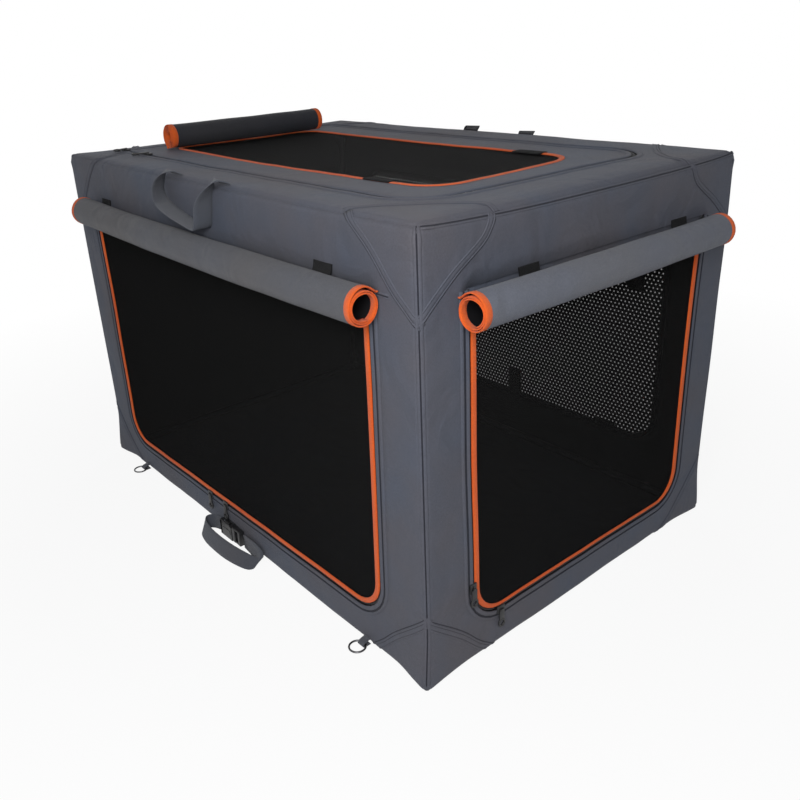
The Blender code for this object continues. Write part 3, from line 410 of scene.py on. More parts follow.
def panel_shape(rings, columns, rows, place, clear=0.005):
    """A flat cut panel, with any holes, meshed on a grid and laid where place(u, v) says."""
    rings = [[(point[0], point[1]) for point in ring] for ring in rings]
    grid = np.array([(u, v) for u in columns for v in rows])
    grid = grid[parity(grid, rings)]
    grid = grid[border_distance(grid, rings) > clear]
    points, edges = [], []
    for ring in rings:
        start = len(points)
        points += ring
        edges += [(start + index, start + (index + 1) % len(ring)) for index in range(len(ring))]
    points += [tuple(point) for point in grid]
    flat, _, faces, *_ = delaunay_2d_cdt([Vector(point) for point in points], edges, [], 0, 1e-7, False)
    flat = np.array([tuple(point) for point in flat])
    middles = np.array([flat[list(face)].mean(axis=0) for face in faces])
    kept = [list(face) for face, inside in zip(faces, parity(middles, rings)) if inside]
    places = [tuple(flat[index]) for face in kept for index in face]
    laid = [place(float(u), float(v)) for u, v in flat]
    return {"points": laid, "faces": kept, "places": places}


def thicken(obj, thickness, lining=False, offset=-1):
    """Cloth of this thickness behind the modelled face, with a dark coated back if it is a lined panel."""
    shell = obj.modifiers.new("thickness", "SOLIDIFY")
    shell.thickness = thickness
    shell.offset = offset
    if lining:
        shell.material_offset = 1
    return obj


def finish_of(name, colour, roughness, **sockets):
    """A new material with its tree and main shader, whose sockets are set by name."""
    material = bpy.data.materials.new(name)
    material.use_nodes = True
    tree = material.node_tree
    shader = tree.nodes["Principled BSDF"]
    shader.inputs["Base Color"].default_value = (*colour, 1)
    shader.inputs["Roughness"].default_value = roughness
    for socket, value in sockets.items():
        shader.inputs[socket.replace("_", " ")].default_value = value
    return material, tree, shader


def link_to(tree, shader, **outputs):
    for socket, output in outputs.items():
        tree.links.new(output, shader.inputs[socket.replace("_", " ")])


def speckled(tree, scale, detail, **inputs):
    """Speckles or patches that stay where they are on the piece."""
    place = add_node(tree, "ShaderNodeTexCoord").outputs["Object"]
    inputs |= {"Vector": place, "Scale": scale, "Detail": detail}
    return add_node(tree, "ShaderNodeTexNoise", inputs).outputs[0]


def mapped(tree, value, low, high, start=0.0, end=1.0):
    """Stretches a value from between start and end to between low and high."""
    return add_node(tree, "ShaderNodeMapRange", {0: value, 1: start, 2: end, 3: low, 4: high}).outputs[0]


def bumped(tree, height, strength, distance, **inputs):
    inputs |= {"Height": height, "Strength": strength, "Distance": distance}
    return add_node(tree, "ShaderNodeBump", inputs).outputs[0]


# In woven cloth: how much gloss changes where it is worn, and how much yarns and specks change its colour
WORN = 0.10
YARN_SHADE = 0.09
SPECK_SHADE = 0.35
SPECK_HEIGHT = 0.8


def woven(name, colour, tint, roughness, sheen, yarn=0.0008, relief=0.35, creases=0.0):
    """Plain woven cloth: two crossed sets of yarns, slow changes of colour and gloss, and a soft sheen."""
    sockets = {"Sheen Weight": sheen, "Sheen Roughness": 0.45, "Specular IOR Level": 0.08}
    material, tree, shader = finish_of(name, colour, roughness, **sockets)
    cut = add_node(tree, "ShaderNodeUVMap", uv_map="cut").outputs[0]
    turns = vector_maths(tree, "MULTIPLY", cut, (math.tau / yarn,) * 3)
    across, along, _ = add_node(tree, "ShaderNodeSeparateXYZ", {0: turns}).outputs
    weave = maths(tree, "MULTIPLY", maths(tree, "SINE", across), maths(tree, "SINE", along))
    slow = speckled(tree, 5.5, 3.0, Roughness=0.55)
    fine = speckled(tree, 420.0, 2.0)
    dyes = {"Factor": mapped(tree, slow, 0.0, 1.0, 0.36, 0.64), "A": (*colour, 1), "B": (*tint, 1)}
    dyed = add_node(tree, "ShaderNodeMix", dyes, data_type="RGBA").outputs["Result"]
    grain = maths(tree, "MULTIPLY", weave, YARN_SHADE)
    specks = maths(tree, "MULTIPLY", maths(tree, "SUBTRACT", fine, 0.5), SPECK_SHADE)
    level = maths(tree, "ADD", maths(tree, "ADD", grain, specks), 1.0)
    gloss = maths(tree, "ADD", maths(tree, "MULTIPLY", slow, WORN), roughness - WORN / 2)
    height = maths(tree, "ADD", weave, maths(tree, "MULTIPLY", fine, SPECK_HEIGHT))
    crumple = {}
    if creases:
        crumple["Normal"] = bumped(tree, speckled(tree, 11.0, 2.5, Distortion=1.2), creases, 0.02)
    threads = bumped(tree, height, relief, yarn / 3, **crumple)
    shade = vector_maths(tree, "MULTIPLY", dyed, level)
    link_to(tree, shader, Base_Color=shade, Roughness=gloss, Normal=threads)
    return material


SHELL_CLOTH = woven(
    "shell_polyester", (0.078, 0.088, 0.116), (0.092, 0.089, 0.103), 0.60, 0.04, creases=0.30
)
LINING = woven("black_lining", (0.006, 0.006, 0.007), (0.009, 0.009, 0.010), 0.85, 0.0, 0.0012, 0.25)


def lined_panel(name, shape, width, length, held, *rests_on):
    """A panel of the grey polyester, dark on its inner side."""
    panel = thicken(make(name, [shape], [SHELL_CLOTH, LINING]), CLOTH, lining=True)
    return panel


def carry(obj, body, slot, *nodes):
    """Fixes a piece to its body and hides the solids it stands for; slot, what it is made of, is not used."""
    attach(obj, body)
    if nodes:
        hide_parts(*nodes)
    return obj


def press(obj):
    """Gives the piece a mesh of its own."""
    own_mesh(obj)


def on_walls(obj, slot, *nodes):
    """Sewn to the walls: it rides the base, with a mesh of its own."""
    press(carry(obj, "base", slot, *nodes))


FRONT_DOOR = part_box("front_door_binding")
RIGHT_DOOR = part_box("right_door_binding")
DOOR_FOOT = FRONT_DOOR[0].z
DOOR_HEAD = FRONT_DOOR[1].z
DOOR_HALVES = {"front": FRONT_DOOR[1].x, "right": RIGHT_DOOR[1].y}
DOOR_CORNER = 0.050
WINDOW_LOW, WINDOW_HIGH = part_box("back_window_binding")
WINDOW_CORNER = 0.050
HOLE_MARGIN = 0.006
HEADER_EDGE = 0.5062


def doorway(half, margin, head=DOOR_HEAD):
    """A door's outline, open at its head, this far outside its binding."""
    side = half + margin
    foot = DOOR_FOOT - margin
    return bent([(-side, head), (-side, foot), (side, foot), (side, head)], DOOR_CORNER + margin)


def wall_panel(face, holes):
    """One wall; the ring has a point at each grid line, so that the wall's round edges stay round."""
    half = FACES[face][2]
    columns = grid_lines(half, WALL_BENDS)
    ring = [(u, HEIGHT_LINES[0]) for u in columns]
    ring += [(columns[-1], v) for v in HEIGHT_LINES[1:]]
    ring += [(u, HEIGHT_LINES[-1]) for u in reversed(columns[:-1])]
    ring += [(columns[0], v) for v in reversed(HEIGHT_LINES[1:-1])]
    shape = panel_shape([ring, *holes], columns, HEIGHT_LINES, partial(wall_point, face))
    rails = (f"{face}_bottom_rail", f"{face}_top_rail")
    panel = lined_panel(f"{face}_wall_cloth", shape, 2 * half, HEIGHT, "stretched", *rails)
    on_walls(panel, "grey_polyester", f"{face}_wall")


wall_panel("front", [doorway(DOOR_HALVES["front"], HOLE_MARGIN, HEADER_EDGE)])
wall_panel("right", [doorway(DOOR_HALVES["right"], HOLE_MARGIN, HEADER_EDGE)])
wall_panel("left", [])
wall_panel("back", [rounded(WINDOW_LOW.xz, WINDOW_HIGH.xz, WINDOW_CORNER)])


# The roof's border and the underside. The border is sewn to the walls along the top edges and frames
# the zipped roof door, and the underside is one sheet over the floor board.
CAP_BENDS = [EDGE * math.sin(math.pi / 4 * share) for share in BEND_SHARES]
LENGTH_LINES = grid_lines(HALF_LENGTH, CAP_BENDS)
WIDTH_LINES = grid_lines(HALF_WIDTH, CAP_BENDS)
CAP_RING = rounded((LENGTH_LINES[0], WIDTH_LINES[0]), (LENGTH_LINES[-1], WIDTH_LINES[-1]), CAP_BENDS[-1])
PANEL_LOW, PANEL_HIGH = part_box("roof_door_panel")
ROOF_DOOR_CORNER = 0.060
ROOF_GAP = 0.0075


def roof_door_edge(margin=0.0, closed=False):
    """The roof door's three zipped sides grown by a margin, from the front left; closed adds the hinge side."""
    far = PANEL_HIGH.x + margin
    side = PANEL_HIGH.y + margin
    turn = ROOF_DOOR_CORNER + margin
    corners = [(PANEL_LOW.x, -side), (far, -side), (far, side), (PANEL_LOW.x, side)]
    return bent(corners, [0, turn, turn, 0] if closed else [turn, turn], closed)


border_shape = panel_shape([CAP_RING, roof_door_edge(ROOF_GAP, True)], LENGTH_LINES, WIDTH_LINES, roof_point)
CAP_SIZE = (2 * HALF_LENGTH, 2 * HALF_WIDTH)
TOP_RAILS = ("front_top_rail", "back_top_rail")
roof_border = lined_panel("roof_border_cloth", border_shape, *CAP_SIZE, "stretched", *TOP_RAILS)
carry(roof_border, "roof_frame", "grey_polyester", "roof_border")
under_shape = panel_shape([CAP_RING], LENGTH_LINES, WIDTH_LINES, lambda x, y: roof_point(-x, y, 0, -1))
under_cloth = thicken(make("floor_cloth", [under_shape], [LINING]), CLOTH)
carry(under_cloth, "base", "grey_polyester")


# The floor mat. A thin board in grey polyester lies on the underside, inside the four walls.
FLOOR_LOW, FLOOR_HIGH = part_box("floor_panel")
MAT_INSET = 0.004
MAT_CORNER = 0.012
MAT_THICKNESS = 0.0024
MAT_QUILT = 0.0005
QUILT_SCALE = 11
MAT_STEP = 0.03


def mat_point(x, y):
    swell = MAT_QUILT * noise.noise(Vector((x * QUILT_SCALE, y * QUILT_SCALE, 0.0)))
    return Vector((x, y, FLOOR_HIGH.z + swell))


mat_edge = rounded(FLOOR_LOW, FLOOR_HIGH, MAT_CORNER, MAT_INSET, MAT_STEP)
mat_shape = panel_shape([mat_edge], *lines_in(FLOOR_LOW, FLOOR_HIGH, MAT_STEP), mat_point)
floor_mat = thicken(make("floor_mat", [mat_shape], [SHELL_CLOTH]), MAT_THICKNESS)
carry(floor_mat, "base", "grey_polyester", "floor_panel")


# Seams. The panels are joined with a felled seam along each upright edge, over a reinforcing patch at
# each of the eight corners, and with a bound seam along the top edges of the short walls.
THREAD = woven("dark_thread", (0.022, 0.024, 0.034), (0.028, 0.028, 0.036), 0.75, 0.05, 0.0006, 0.6)
SEWN = [SHELL_CLOTH, THREAD]
SEAM_FILL = 0.0006
SEAM_STEP = 0.012


def tube_shape(rows, travelled=None, ring=False, around=True):
    """A skin over rows of points; each row goes round the piece, and the rows follow one another along it."""
    count = len(rows[0])
    if travelled is None:
        travelled = [0.0]
        for first, second in zip(rows, rows[1:] + rows[:1]):
            travelled.append(travelled[-1] + (second[0] - first[0]).length)
    widths = [0.0]
    for first, second in zip(rows[0], rows[0][1:] + rows[0][:1]):
        widths.append(widths[-1] + (second - first).length)
    faces, places, columns = [], [], []
    for i in range(len(rows) if ring else len(rows) - 1):
        for j in range(count if around else count - 1):
            here, there = i * count, (i + 1) % len(rows) * count
            side = (j + 1) % count
            faces.append([here + j, there + j, there + side, here + side])
            corners = ((i, j), (i + 1, j), (i + 1, j + 1), (i, j + 1))
            places += [(travelled[row], widths[column]) for row, column in corners]
            columns.append(j)
    if around and not ring:
        for base, order in ((0, 1), ((len(rows) - 1) * count, -1)):
            faces.append([base + j for j in range(count)][::order])
            places += [(0.0, widths[j]) for j in range(count)]
            columns.append(0)
    points = [point for row in rows for point in row]
    return {"points": points, "faces": faces, "places": places, "columns": columns}


def strip_shape(path, profile, place, closed=False, under=SEAM_FILL, foot=1.0):
    """A sewn strip along a flat path: profile points are an offset to the left and a lift off the cloth.

    foot narrows it where it runs level."""
    count = len(path)
    spots = [*profile, (profile[-1][0], -under), (profile[0][0], -under)]
    rows, travelled = [], [0.0]
    for index, point in enumerate(path):
        last = path[index - 1] if index or closed else point
        after = path[(index + 1) % count] if index + 1 < count or closed else point
        heading = (Vector(after) - Vector(last)).normalized()
        left = Vector((-heading.y, heading.x)) * (1 - (1 - foot) * heading.x**4)
        rows.append([place(point[0] + left.x * o, point[1] + left.y * o, lift) for o, lift in spots])
        travelled.append(travelled[-1] + (Vector(after) - Vector(point)).length)
    return tube_shape(rows, travelled, closed)


def seam(path, profile, bands, place, mirrored=False, **how):
    """A strip whose stretches across have their own finishes: bands maps a stretch's number to a finish."""
    if mirrored:
        profile = [(-offset, lift) for offset, lift in reversed(profile)]
        bands = {len(profile) - 2 - column: finish for column, finish in bands.items()}
    shape = strip_shape(path, profile, place, **how)
    shape["finishes"] = [bands.get(column, 0) for column in shape["columns"]]
    return shape


def curve_point(a, b, c, d, t):
    """A point this share of the way from b to c, on a smooth curve that comes from a and goes on to d."""
    bend = (2 * a - 5 * b + 4 * c - d) * t * t
    return 0.5 * (2 * b + (c - a) * t + bend + (3 * b - a - 3 * c + d) * t**3)


def flowing(points, step=0.006):
    """A smooth flat curve through given points."""
    points = [Vector(point) for point in points]
    ends = [points[0] * 2 - points[1], *points, points[-1] * 2 - points[-2]]
    path = []
    for a, b, c, d in zip(ends, ends[1:], ends[2:], ends[3:]):
        count = max(2, round((c - b).length / step))
        path += [curve_point(a, b, c, d, piece / count) for piece in range(count)]
    return path + [points[-1]]


# Across a felled seam, from the patch outwards: the stitched groove, a ridge, the flat and a second ridge
FELLED = [
    (0.0000, 0.0002), (0.0004, 0.0003), (0.0010, 0.0003), (0.0016, 0.0011), (0.0028, 0.0012),
    (0.0036, 0.0006), (0.0042, 0.0004), (0.0048, 0.0006), (0.0078, 0.0007), (0.0086, 0.0004),
    (0.0090, 0.0004), (0.0096, 0.0010), (0.0106, 0.0008), (0.0112, 0.0001),
]
FELLED_BANDS = {0: 1, 1: 1, 5: 1, 9: 1}
UPRIGHT = [
    (-0.0050, 0.0001), (-0.0042, 0.0006), (-0.0022, 0.0010), (-0.0008, 0.0009), (-0.0004, 0.0001),
    (0.0004, 0.0001), (0.0008, 0.0008), (0.0020, 0.0009), (0.0036, 0.0005), (0.0044, 0.0001),
]
UPRIGHT_BANDS = {3: 1, 4: 1, 5: 1}
TOP_LINE = [
    (-0.0030, 0.0001), (-0.0020, 0.0005), (-0.0009, 0.0006), (-0.0006, 0.0001),
    (0.0006, 0.0001), (0.0009, 0.0004), (0.0020, 0.0003), (0.0028, 0.0001),
]
TOP_LINE_BANDS = {2: 1, 3: 1, 4: 1}
TOP_LINE_DROP = 0.001
# The seam that carries each long cover ends short of the door and of the wall's upright seam
COVER_SEAM_HEIGHT = 0.503
COVER_SEAM_ENDS = (0.010, 0.046)
# Corner patches on the long and the short walls, by distance from the upright edge and the level one
LONG_HEAD = [(0.118, 0.0), (0.101, 0.014), (0.075, 0.037), (0.042, 0.074), (0.016, 0.096), (0.0, 0.110)]
SHORT_HEAD = [
    (0.114, 0.0), (0.112, 0.006), (0.100, 0.026), (0.081, 0.042), (0.050, 0.064), (0.017, 0.091), (0.0, 0.107),
]
LONG_FOOT = [(0.106, 0.0), (0.070, 0.030), (0.034, 0.070), (0.0, 0.108)]
SHORT_FOOT = [(0.112, 0.0), (0.076, 0.026), (0.036, 0.070), (0.0, 0.106)]
ROOF_PATCH = [(0.120, 0.004), (0.096, 0.044), (0.064, 0.082), (0.027, 0.110), (0.004, 0.114)]
# Near the corners the seams are lifted, because the cloth rounds over under them
CORNER_LIFT = 0.0013
LIFT_AT_TOP = (TOP_SEAM - 0.022, TOP_SEAM - 0.008)
LIFT_AT_END = (HALF_WIDTH - 0.026, HALF_WIDTH - 0.012)


def up_to_top(face, u, v, lift):
    return wall_point(face, u, v, lift + CORNER_LIFT * rise(v, *LIFT_AT_TOP))


def to_corner(face, u, v, lift):
    return wall_point(face, u, v, lift + CORNER_LIFT * rise(abs(u), *LIFT_AT_END))


wall_seams, roof_seams = [], []
for face, (_, _, half, _) in FACES.items():
    head, foot = (LONG_HEAD, LONG_FOOT) if face in ("front", "back") else (SHORT_HEAD, SHORT_FOOT)
    for end in (-1, 1):
        for table, level, away in ((head, TOP_SEAM, -1), (foot, FOOT_SEAM, 1)):
            path = [(end * (half - FOOT_SEAM - u), level + away * v) for u, v in flowing(table)]
            wall_seams.append(seam(path, FELLED, FELLED_BANDS, partial(wall_point, face), end == away))
for end in (-1, 1):
    for side in (-1, 1):
        path = [(end * (HALF_LENGTH - x), side * (HALF_WIDTH - y)) for x, y in flowing(ROOF_PATCH)]
        roof_seams.append(seam(path, FELLED, FELLED_BANDS, roof_point, end == side))
for face in ("front", "back"):
    for end in (-1, 1):
        path = [(end * (HALF_LENGTH - FOOT_SEAM), v) for v in evenly(FOOT_SEAM, TOP_SEAM, SEAM_STEP)]
        wall_seams.append(seam(path, UPRIGHT, UPRIGHT_BANDS, partial(up_to_top, face), end < 0))
for face in ("right", "left"):
    edge = HALF_WIDTH - FOOT_SEAM
    path = [(u, TOP_SEAM - TOP_LINE_DROP) for u in evenly(-edge, edge, SEAM_STEP)]
    wall_seams.append(seam(path, TOP_LINE, TOP_LINE_BANDS, partial(to_corner, face)))
for face in ("front", "back"):
    start, stop = DOOR_HALVES["front"] + COVER_SEAM_ENDS[0], HALF_LENGTH - COVER_SEAM_ENDS[1]
    for end in (-1, 1):
        path = [(end * u, COVER_SEAM_HEIGHT) for u in evenly(start, stop, 0.010)]
        wall_seams.append(seam(path, TOP_LINE, TOP_LINE_BANDS, partial(wall_point, face), end > 0))

on_walls(make("wall_seams", wall_seams, SEWN), "grey_polyester")
carry(make("roof_patch_seams", roof_seams, SEWN), "roof_frame", "grey_polyester")


# The zips. Each door closes with a black coil zip on a tape round its two sides and foot. A folded
# welt of shell cloth, stitched twice, covers the zip's outer edge.
def hard_finish(name, colour, roughness, grain=(1300, 2), worn=(60, 5), relief=0.3, gloss=(0.08, 0.10), **sockets):
    """Plastic or coated metal: a fine grain, and patches that are worn smoother or rougher by this much."""
    material, tree, shader = finish_of(name, colour, roughness, **sockets)
    gloss = mapped(tree, speckled(tree, *worn), roughness - gloss[0], roughness + gloss[1])
    link_to(tree, shader, Roughness=gloss, Normal=bumped(tree, speckled(tree, *grain), relief, 0.0002))
    return material


ZIP_TEETH = hard_finish("zip_teeth", (0.014, 0.014, 0.016), 0.38, (900, 2), (900, 2), 0.15, (0.10, 0.12))
ZIP_CLOTH = woven("zip_tape", (0.012, 0.012, 0.014), (0.016, 0.016, 0.018), 0.55, 0.05, 0.0007, 0.4)
TAPE = [(-0.0052, -0.0026), (-0.0050, -0.0022), (0.0050, -0.0022), (0.0052, -0.0026)]
TAPE_UNDER = 0.0030
TOOTH = 0.0016
TOOTH_HIGH, TOOTH_LOW, TOOTH_FOOT = -0.0006, -0.0014, -0.0022
# From the zip outwards: the welt's rolled edge, its flat, a stitched groove and the wall's own fold
WELT = [
    (-0.0062, -0.0014), (-0.0064, 0.0012), (-0.0054, 0.0022), (-0.0040, 0.0021), (-0.0030, 0.0015),
    (-0.0006, 0.0014), (0.0002, 0.0004), (0.0016, 0.0003), (0.0024, 0.0014), (0.0040, 0.0016),
    (0.0058, 0.0009), (0.0068, 0.0000),
]
WELT_BANDS = {0: 1, 5: 1, 6: 1, 7: 1}
# How far outside the door's edge the middles of its tape, its coil and its welt run, and where they end
TAPE_MARGIN = 0.0042
COIL_MARGIN = 0.0019
WELT_MARGIN = 0.0100
ZIP_HEAD = COVER_SEAM_HEIGHT + 0.001


def even_steps(path, step):
    """The same path at an even small step."""
    path = [Vector(point) for point in path]
    lengths = np.concatenate([[0.0], np.cumsum([(b - a).length for a, b in zip(path, path[1:])])])
    count = max(2, round(lengths[-1] / step))
    at = np.linspace(0, lengths[-1], count + 1)
    us = np.interp(at, lengths, [point.x for point in path])
    vs = np.interp(at, lengths, [point.y for point in path])
    return [Vector((float(u), float(v))) for u, v in zip(us, vs)]


def coil_shape(path, place):
    """The coil: its lift goes up and down once a tooth, and the two sides mesh half a tooth apart."""
    fine = even_steps(path, TOOTH / 2)
    rows = []
    for index, point in enumerate(fine):
        heading = (fine[min(index + 1, len(fine) - 1)] - fine[max(index - 1, 0)]).normalized()
        left = Vector((-heading.y, heading.x))
        near, far = (TOOTH_HIGH, TOOTH_LOW) if index % 2 else (TOOTH_LOW, TOOTH_HIGH)
        spots = [(-0.0017, TOOTH_FOOT), (-0.0014, near), (-0.0002, near)]
        spots += [(0.0002, far), (0.0014, far), (0.0017, TOOTH_FOOT)]
        rows.append([place(point.x + left.x * o, point.y + left.y * o, lift) for o, lift in spots])
    return tube_shape(rows)


for face in ("front", "right"):
    place = partial(wall_point, face)
    tape, coil, welt = (
        doorway(DOOR_HALVES[face], margin, ZIP_HEAD) for margin in (TAPE_MARGIN, COIL_MARGIN, WELT_MARGIN)
    )
    tape_cloth = make(f"{face}_zip_tape", [strip_shape(tape, TAPE, place, under=TAPE_UNDER)], [ZIP_CLOTH])
    on_walls(tape_cloth, "zipper_black", f"{face}_door_zipper")
    on_walls(make(f"{face}_zip_teeth", [coil_shape(coil, place)], [ZIP_TEETH]), "zipper_black")
    # The path runs down the left side first, so the door lies on its left and the wall on its right
    welt_seam = seam(welt, WELT, WELT_BANDS, place, mirrored=True)
    on_walls(make(f"{face}_zip_welt", [welt_seam], SEWN), "grey_polyester")


# The mesh doors. Black polyester netting fills each door, and a folded orange grosgrain tape binds its
# edge on the outside and turns black inside.
NET_PITCH = 0.0022
NET_HOLE = 0.00046
NET_DEPTH = -0.0014
NET_STEP = 0.022


def netting(name, pitch, hole, even=False):
    """Knitted netting: staggered round holes in black yarn. Even netting is too fine to show its holes."""
    material, tree, shader = finish_of(name, (0.008, 0.008, 0.009), 0.9, Specular_IOR_Level=0.05)
    cut = add_node(tree, "ShaderNodeUVMap", uv_map="cut").outputs[0]
    cell = (pitch, pitch * math.sqrt(3), 1.0)
    distances = []
    for start in ((0.0, 0.0, 0.0), (pitch / 2, pitch * math.sqrt(3) / 2, 0.0)):
        cells = vector_maths(tree, "DIVIDE", vector_maths(tree, "ADD", cut, start), cell)
        middle = vector_maths(tree, "SUBTRACT", vector_maths(tree, "FRACTION", cells), (0.5, 0.5, 0.0))
        real = vector_maths(tree, "MULTIPLY", middle, cell)
        distances.append(vector_maths(tree, "LENGTH", real, result="Value"))
    nearest = maths(tree, "MINIMUM", *distances)
    solid = maths(tree, "GREATER_THAN", nearest, hole)
    if even:
        solid = mapped(tree, nearest, 0.70, 0.90, 0.0, pitch / 2)
    # The yarn is painted lighter at each hole's rim and darker away from it: a painted highlight round the holes.
    shade = mapped(tree, mapped(tree, nearest, 1.0, 0.0, hole, hole * 1.7), 0.006, 0.013)
    colour = add_node(tree, "ShaderNodeCombineColor", {0: shade, 1: shade, 2: shade}).outputs[0]
    link_to(tree, shader, Base_Color=colour, Alpha=solid, Normal=bumped(tree, nearest, 0.5, 0.4))
    return material


NET = netting("black_netting", NET_PITCH, NET_HOLE, even=True)
ORANGE = woven("orange_grosgrain", (0.74, 0.125, 0.022), (0.66, 0.100, 0.018), 0.62, 0.12, 0.0010, 0.55)
BINDING = [
    (-0.0040, -0.0030), (-0.0042, -0.0006), (-0.0037, 0.0008), (-0.0024, 0.0012),
    (0.0024, 0.0012), (0.0037, 0.0008), (0.0042, -0.0006), (0.0040, -0.0030),
]
BINDING_BANDS = {0: 1, 6: 1, 7: 1, 8: 1, 9: 1}
BINDING_UNDER = 0.0040
BINDING_HALF = 0.004
# How wide the tape looks along the door's foot, where the wall swells over it
FOOT_SHARES = {"front": 0.78, "right": 0.50}
# The net ends under the roll, below a header of shell cloth that carries the door and its cover
NET_HEADS = {"front": 0.5030, "right": 0.4965}
HEADER_FOOT = 0.4950
HEADER_HEAD = 0.5160
HEADER_DEPTH = -0.0017
HEADER_STEP = 0.004


def stretched_net(name, ring, low, high, place, net, held_by):
    """A net cut to a ring that fills a box of two flat points, stretched a little way in from place."""
    shape = panel_shape([ring], *lines_in(low, high, NET_STEP), partial(place, lift=NET_DEPTH))
    piece = make(name, [shape], [net])
    return piece


def bound_edge(name, path, place, **how):
    """Orange tape folded over an edge; it is black where it turns in."""
    tape = seam(path, BINDING, BINDING_BANDS, place, under=BINDING_UNDER, **how)
    return make(name, [tape], [ORANGE, LINING])


def hung_from_roof(obj, body, slot, *nodes):
    """Hung from the roof side of a wall: it rides its body, with a mesh of its own."""
    press(carry(obj, body, slot, *nodes))


def mesh_door(face):
    half, head, door = DOOR_HALVES[face], NET_HEADS[face], f"{face}_door"
    place = partial(wall_point, face)
    ring = doorway(half, -BINDING_HALF, head)
    net = stretched_net(f"{door}_net", ring, (-half, DOOR_FOOT), (half, head), place, NET, f"{door}_binding")
    hung_from_roof(net, door, "black_mesh", f"{door}_mesh")
    tape = bound_edge(f"{door}_tape", ring, place, foot=FOOT_SHARES[face])
    hung_from_roof(tape, door, "orange_binding", f"{door}_binding")
    side = half + HOLE_MARGIN
    shape = panel_shape(
        [rounded((-side, HEADER_FOOT), (side, HEADER_HEAD), 0.0)],
        evenly(-side, side, PANEL_STEP),
        evenly(HEADER_FOOT, HEADER_HEAD, HEADER_STEP),
        partial(place, lift=HEADER_DEPTH),
        clear=0.001,
    )
    size = (2 * side, HEADER_HEAD - HEADER_FOOT)
    header = lined_panel(f"{door}_header", shape, *size, "hung", f"{face}_wall")
    sewn, hung = (place(0.0, height, HEADER_DEPTH) for height in (HEADER_HEAD, HEADER_FOOT))
    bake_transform(header)


for face in ("front", "right"):
    mesh_door(face)


# The back window. It doesn't open: black netting bound in the same orange tape is sewn into the back wall,
# and it has a cover of its own outside.
WINDOW_NET_PITCH = 0.0076
WINDOW_NET_HOLE = 0.00135
WINDOW_NET = netting("black_window_netting", WINDOW_NET_PITCH, WINDOW_NET_HOLE)
on_back = partial(wall_point, "back")
window_edge = rounded(WINDOW_LOW.xz, WINDOW_HIGH.xz, WINDOW_CORNER - BINDING_HALF, BINDING_HALF)
window_box = (WINDOW_LOW.xz, WINDOW_HIGH.xz)
window_net = stretched_net("back_window_net", window_edge, *window_box, on_back, WINDOW_NET, "back_wall")
on_walls(window_net, "black_mesh", "back_window_mesh")
window_tape = bound_edge("back_window_tape", window_edge, on_back, closed=True)
on_walls(window_tape, "orange_binding", "back_window_binding")


# The roof door. A cloth panel with its own mesh window is hinged by a seam at its left end, and zips
# along both sides and its right end.
ROOF_WINDOW_LOW, ROOF_WINDOW_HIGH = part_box("roof_window_binding")
ROOF_WINDOW_CORNERS = (0.030, 0.048, 0.062, 0.030)
ROOF_WINDOW_REACH = 0.014
ROOF_WINDOW_SKEW = 0.020
near_end = ROOF_WINDOW_LOW.x + BINDING_HALF - ROOF_WINDOW_REACH
far_end = ROOF_WINDOW_HIGH.x - BINDING_HALF
front_side = ROOF_WINDOW_LOW.y + BINDING_HALF
back_side = ROOF_WINDOW_HIGH.y - BINDING_HALF
roof_window_edge = bent(
    [
        (near_end, front_side),
        (far_end, front_side),
        (far_end - ROOF_WINDOW_SKEW, back_side),
        (near_end, back_side),
    ],
    ROOF_WINDOW_CORNERS,
    closed=True,
)
door_edges = [roof_door_edge(closed=True), roof_window_edge]
roof_door_shape = panel_shape(door_edges, *lines_in(PANEL_LOW, PANEL_HIGH, PANEL_STEP), roof_point)
door_size = (PANEL_HIGH.x - PANEL_LOW.x, 2 * PANEL_HIGH.y)
roof_door = lined_panel("roof_door_cloth", roof_door_shape, *door_size, "stretched", "roof_border")
carry(roof_door, "roof_door", "grey_polyester", "roof_door_panel")
net_box = ((ROOF_WINDOW_LOW.x - ROOF_WINDOW_REACH, ROOF_WINDOW_LOW.y), ROOF_WINDOW_HIGH)
roof_net = stretched_net("roof_window_net", roof_window_edge, *net_box, roof_point, NET, "roof_door_panel")
carry(roof_net, "roof_door", "black_mesh", "roof_window_mesh")
roof_tape = bound_edge("roof_window_tape", roof_window_edge, roof_point, closed=True)
carry(roof_tape, "roof_door", "orange_binding", "roof_window_binding")

ROOF_ZIP_MIDDLE = 0.0036
DOOR_HEM_MARGIN = -0.0045
BORDER_HEM_MARGIN = 0.0116
# From the zip outwards: a hem's rolled edge and, where it is stitched down, its groove
HEM = [
    (-0.0040, 0.0001), (-0.0032, 0.0009), (-0.0010, 0.0014), (0.0010, 0.0014), (0.0024, 0.0010),
    (0.0032, 0.0005), (0.0036, 0.0005), (0.0044, 0.0008), (0.0052, 0.0001),
]
HEM_BANDS = {5: 1}
zip_path = roof_door_edge(ROOF_ZIP_MIDDLE)
zip_tape = make("roof_zip_tape", [strip_shape(zip_path, TAPE, roof_point, under=TAPE_UNDER)], [ZIP_CLOTH])
carry(zip_tape, "roof_frame", "zipper_black", "roof_door_zipper")
carry(make("roof_zip_teeth", [coil_shape(zip_path, roof_point)], [ZIP_TEETH]), "roof_frame", "zipper_black")
door_hem = seam(roof_door_edge(DOOR_HEM_MARGIN), HEM, HEM_BANDS, roof_point)
carry(make("roof_door_hem", [door_hem], SEWN), "roof_door", "grey_polyester")
border_hem = seam(roof_door_edge(BORDER_HEM_MARGIN), HEM, HEM_BANDS, roof_point, mirrored=True)
carry(make("roof_border_hem", [border_hem], SEWN), "roof_frame", "grey_polyester")
hinge_path = [(PANEL_LOW.x, y) for y in evenly(-PANEL_HIGH.y, PANEL_HIGH.y, SEAM_STEP)]
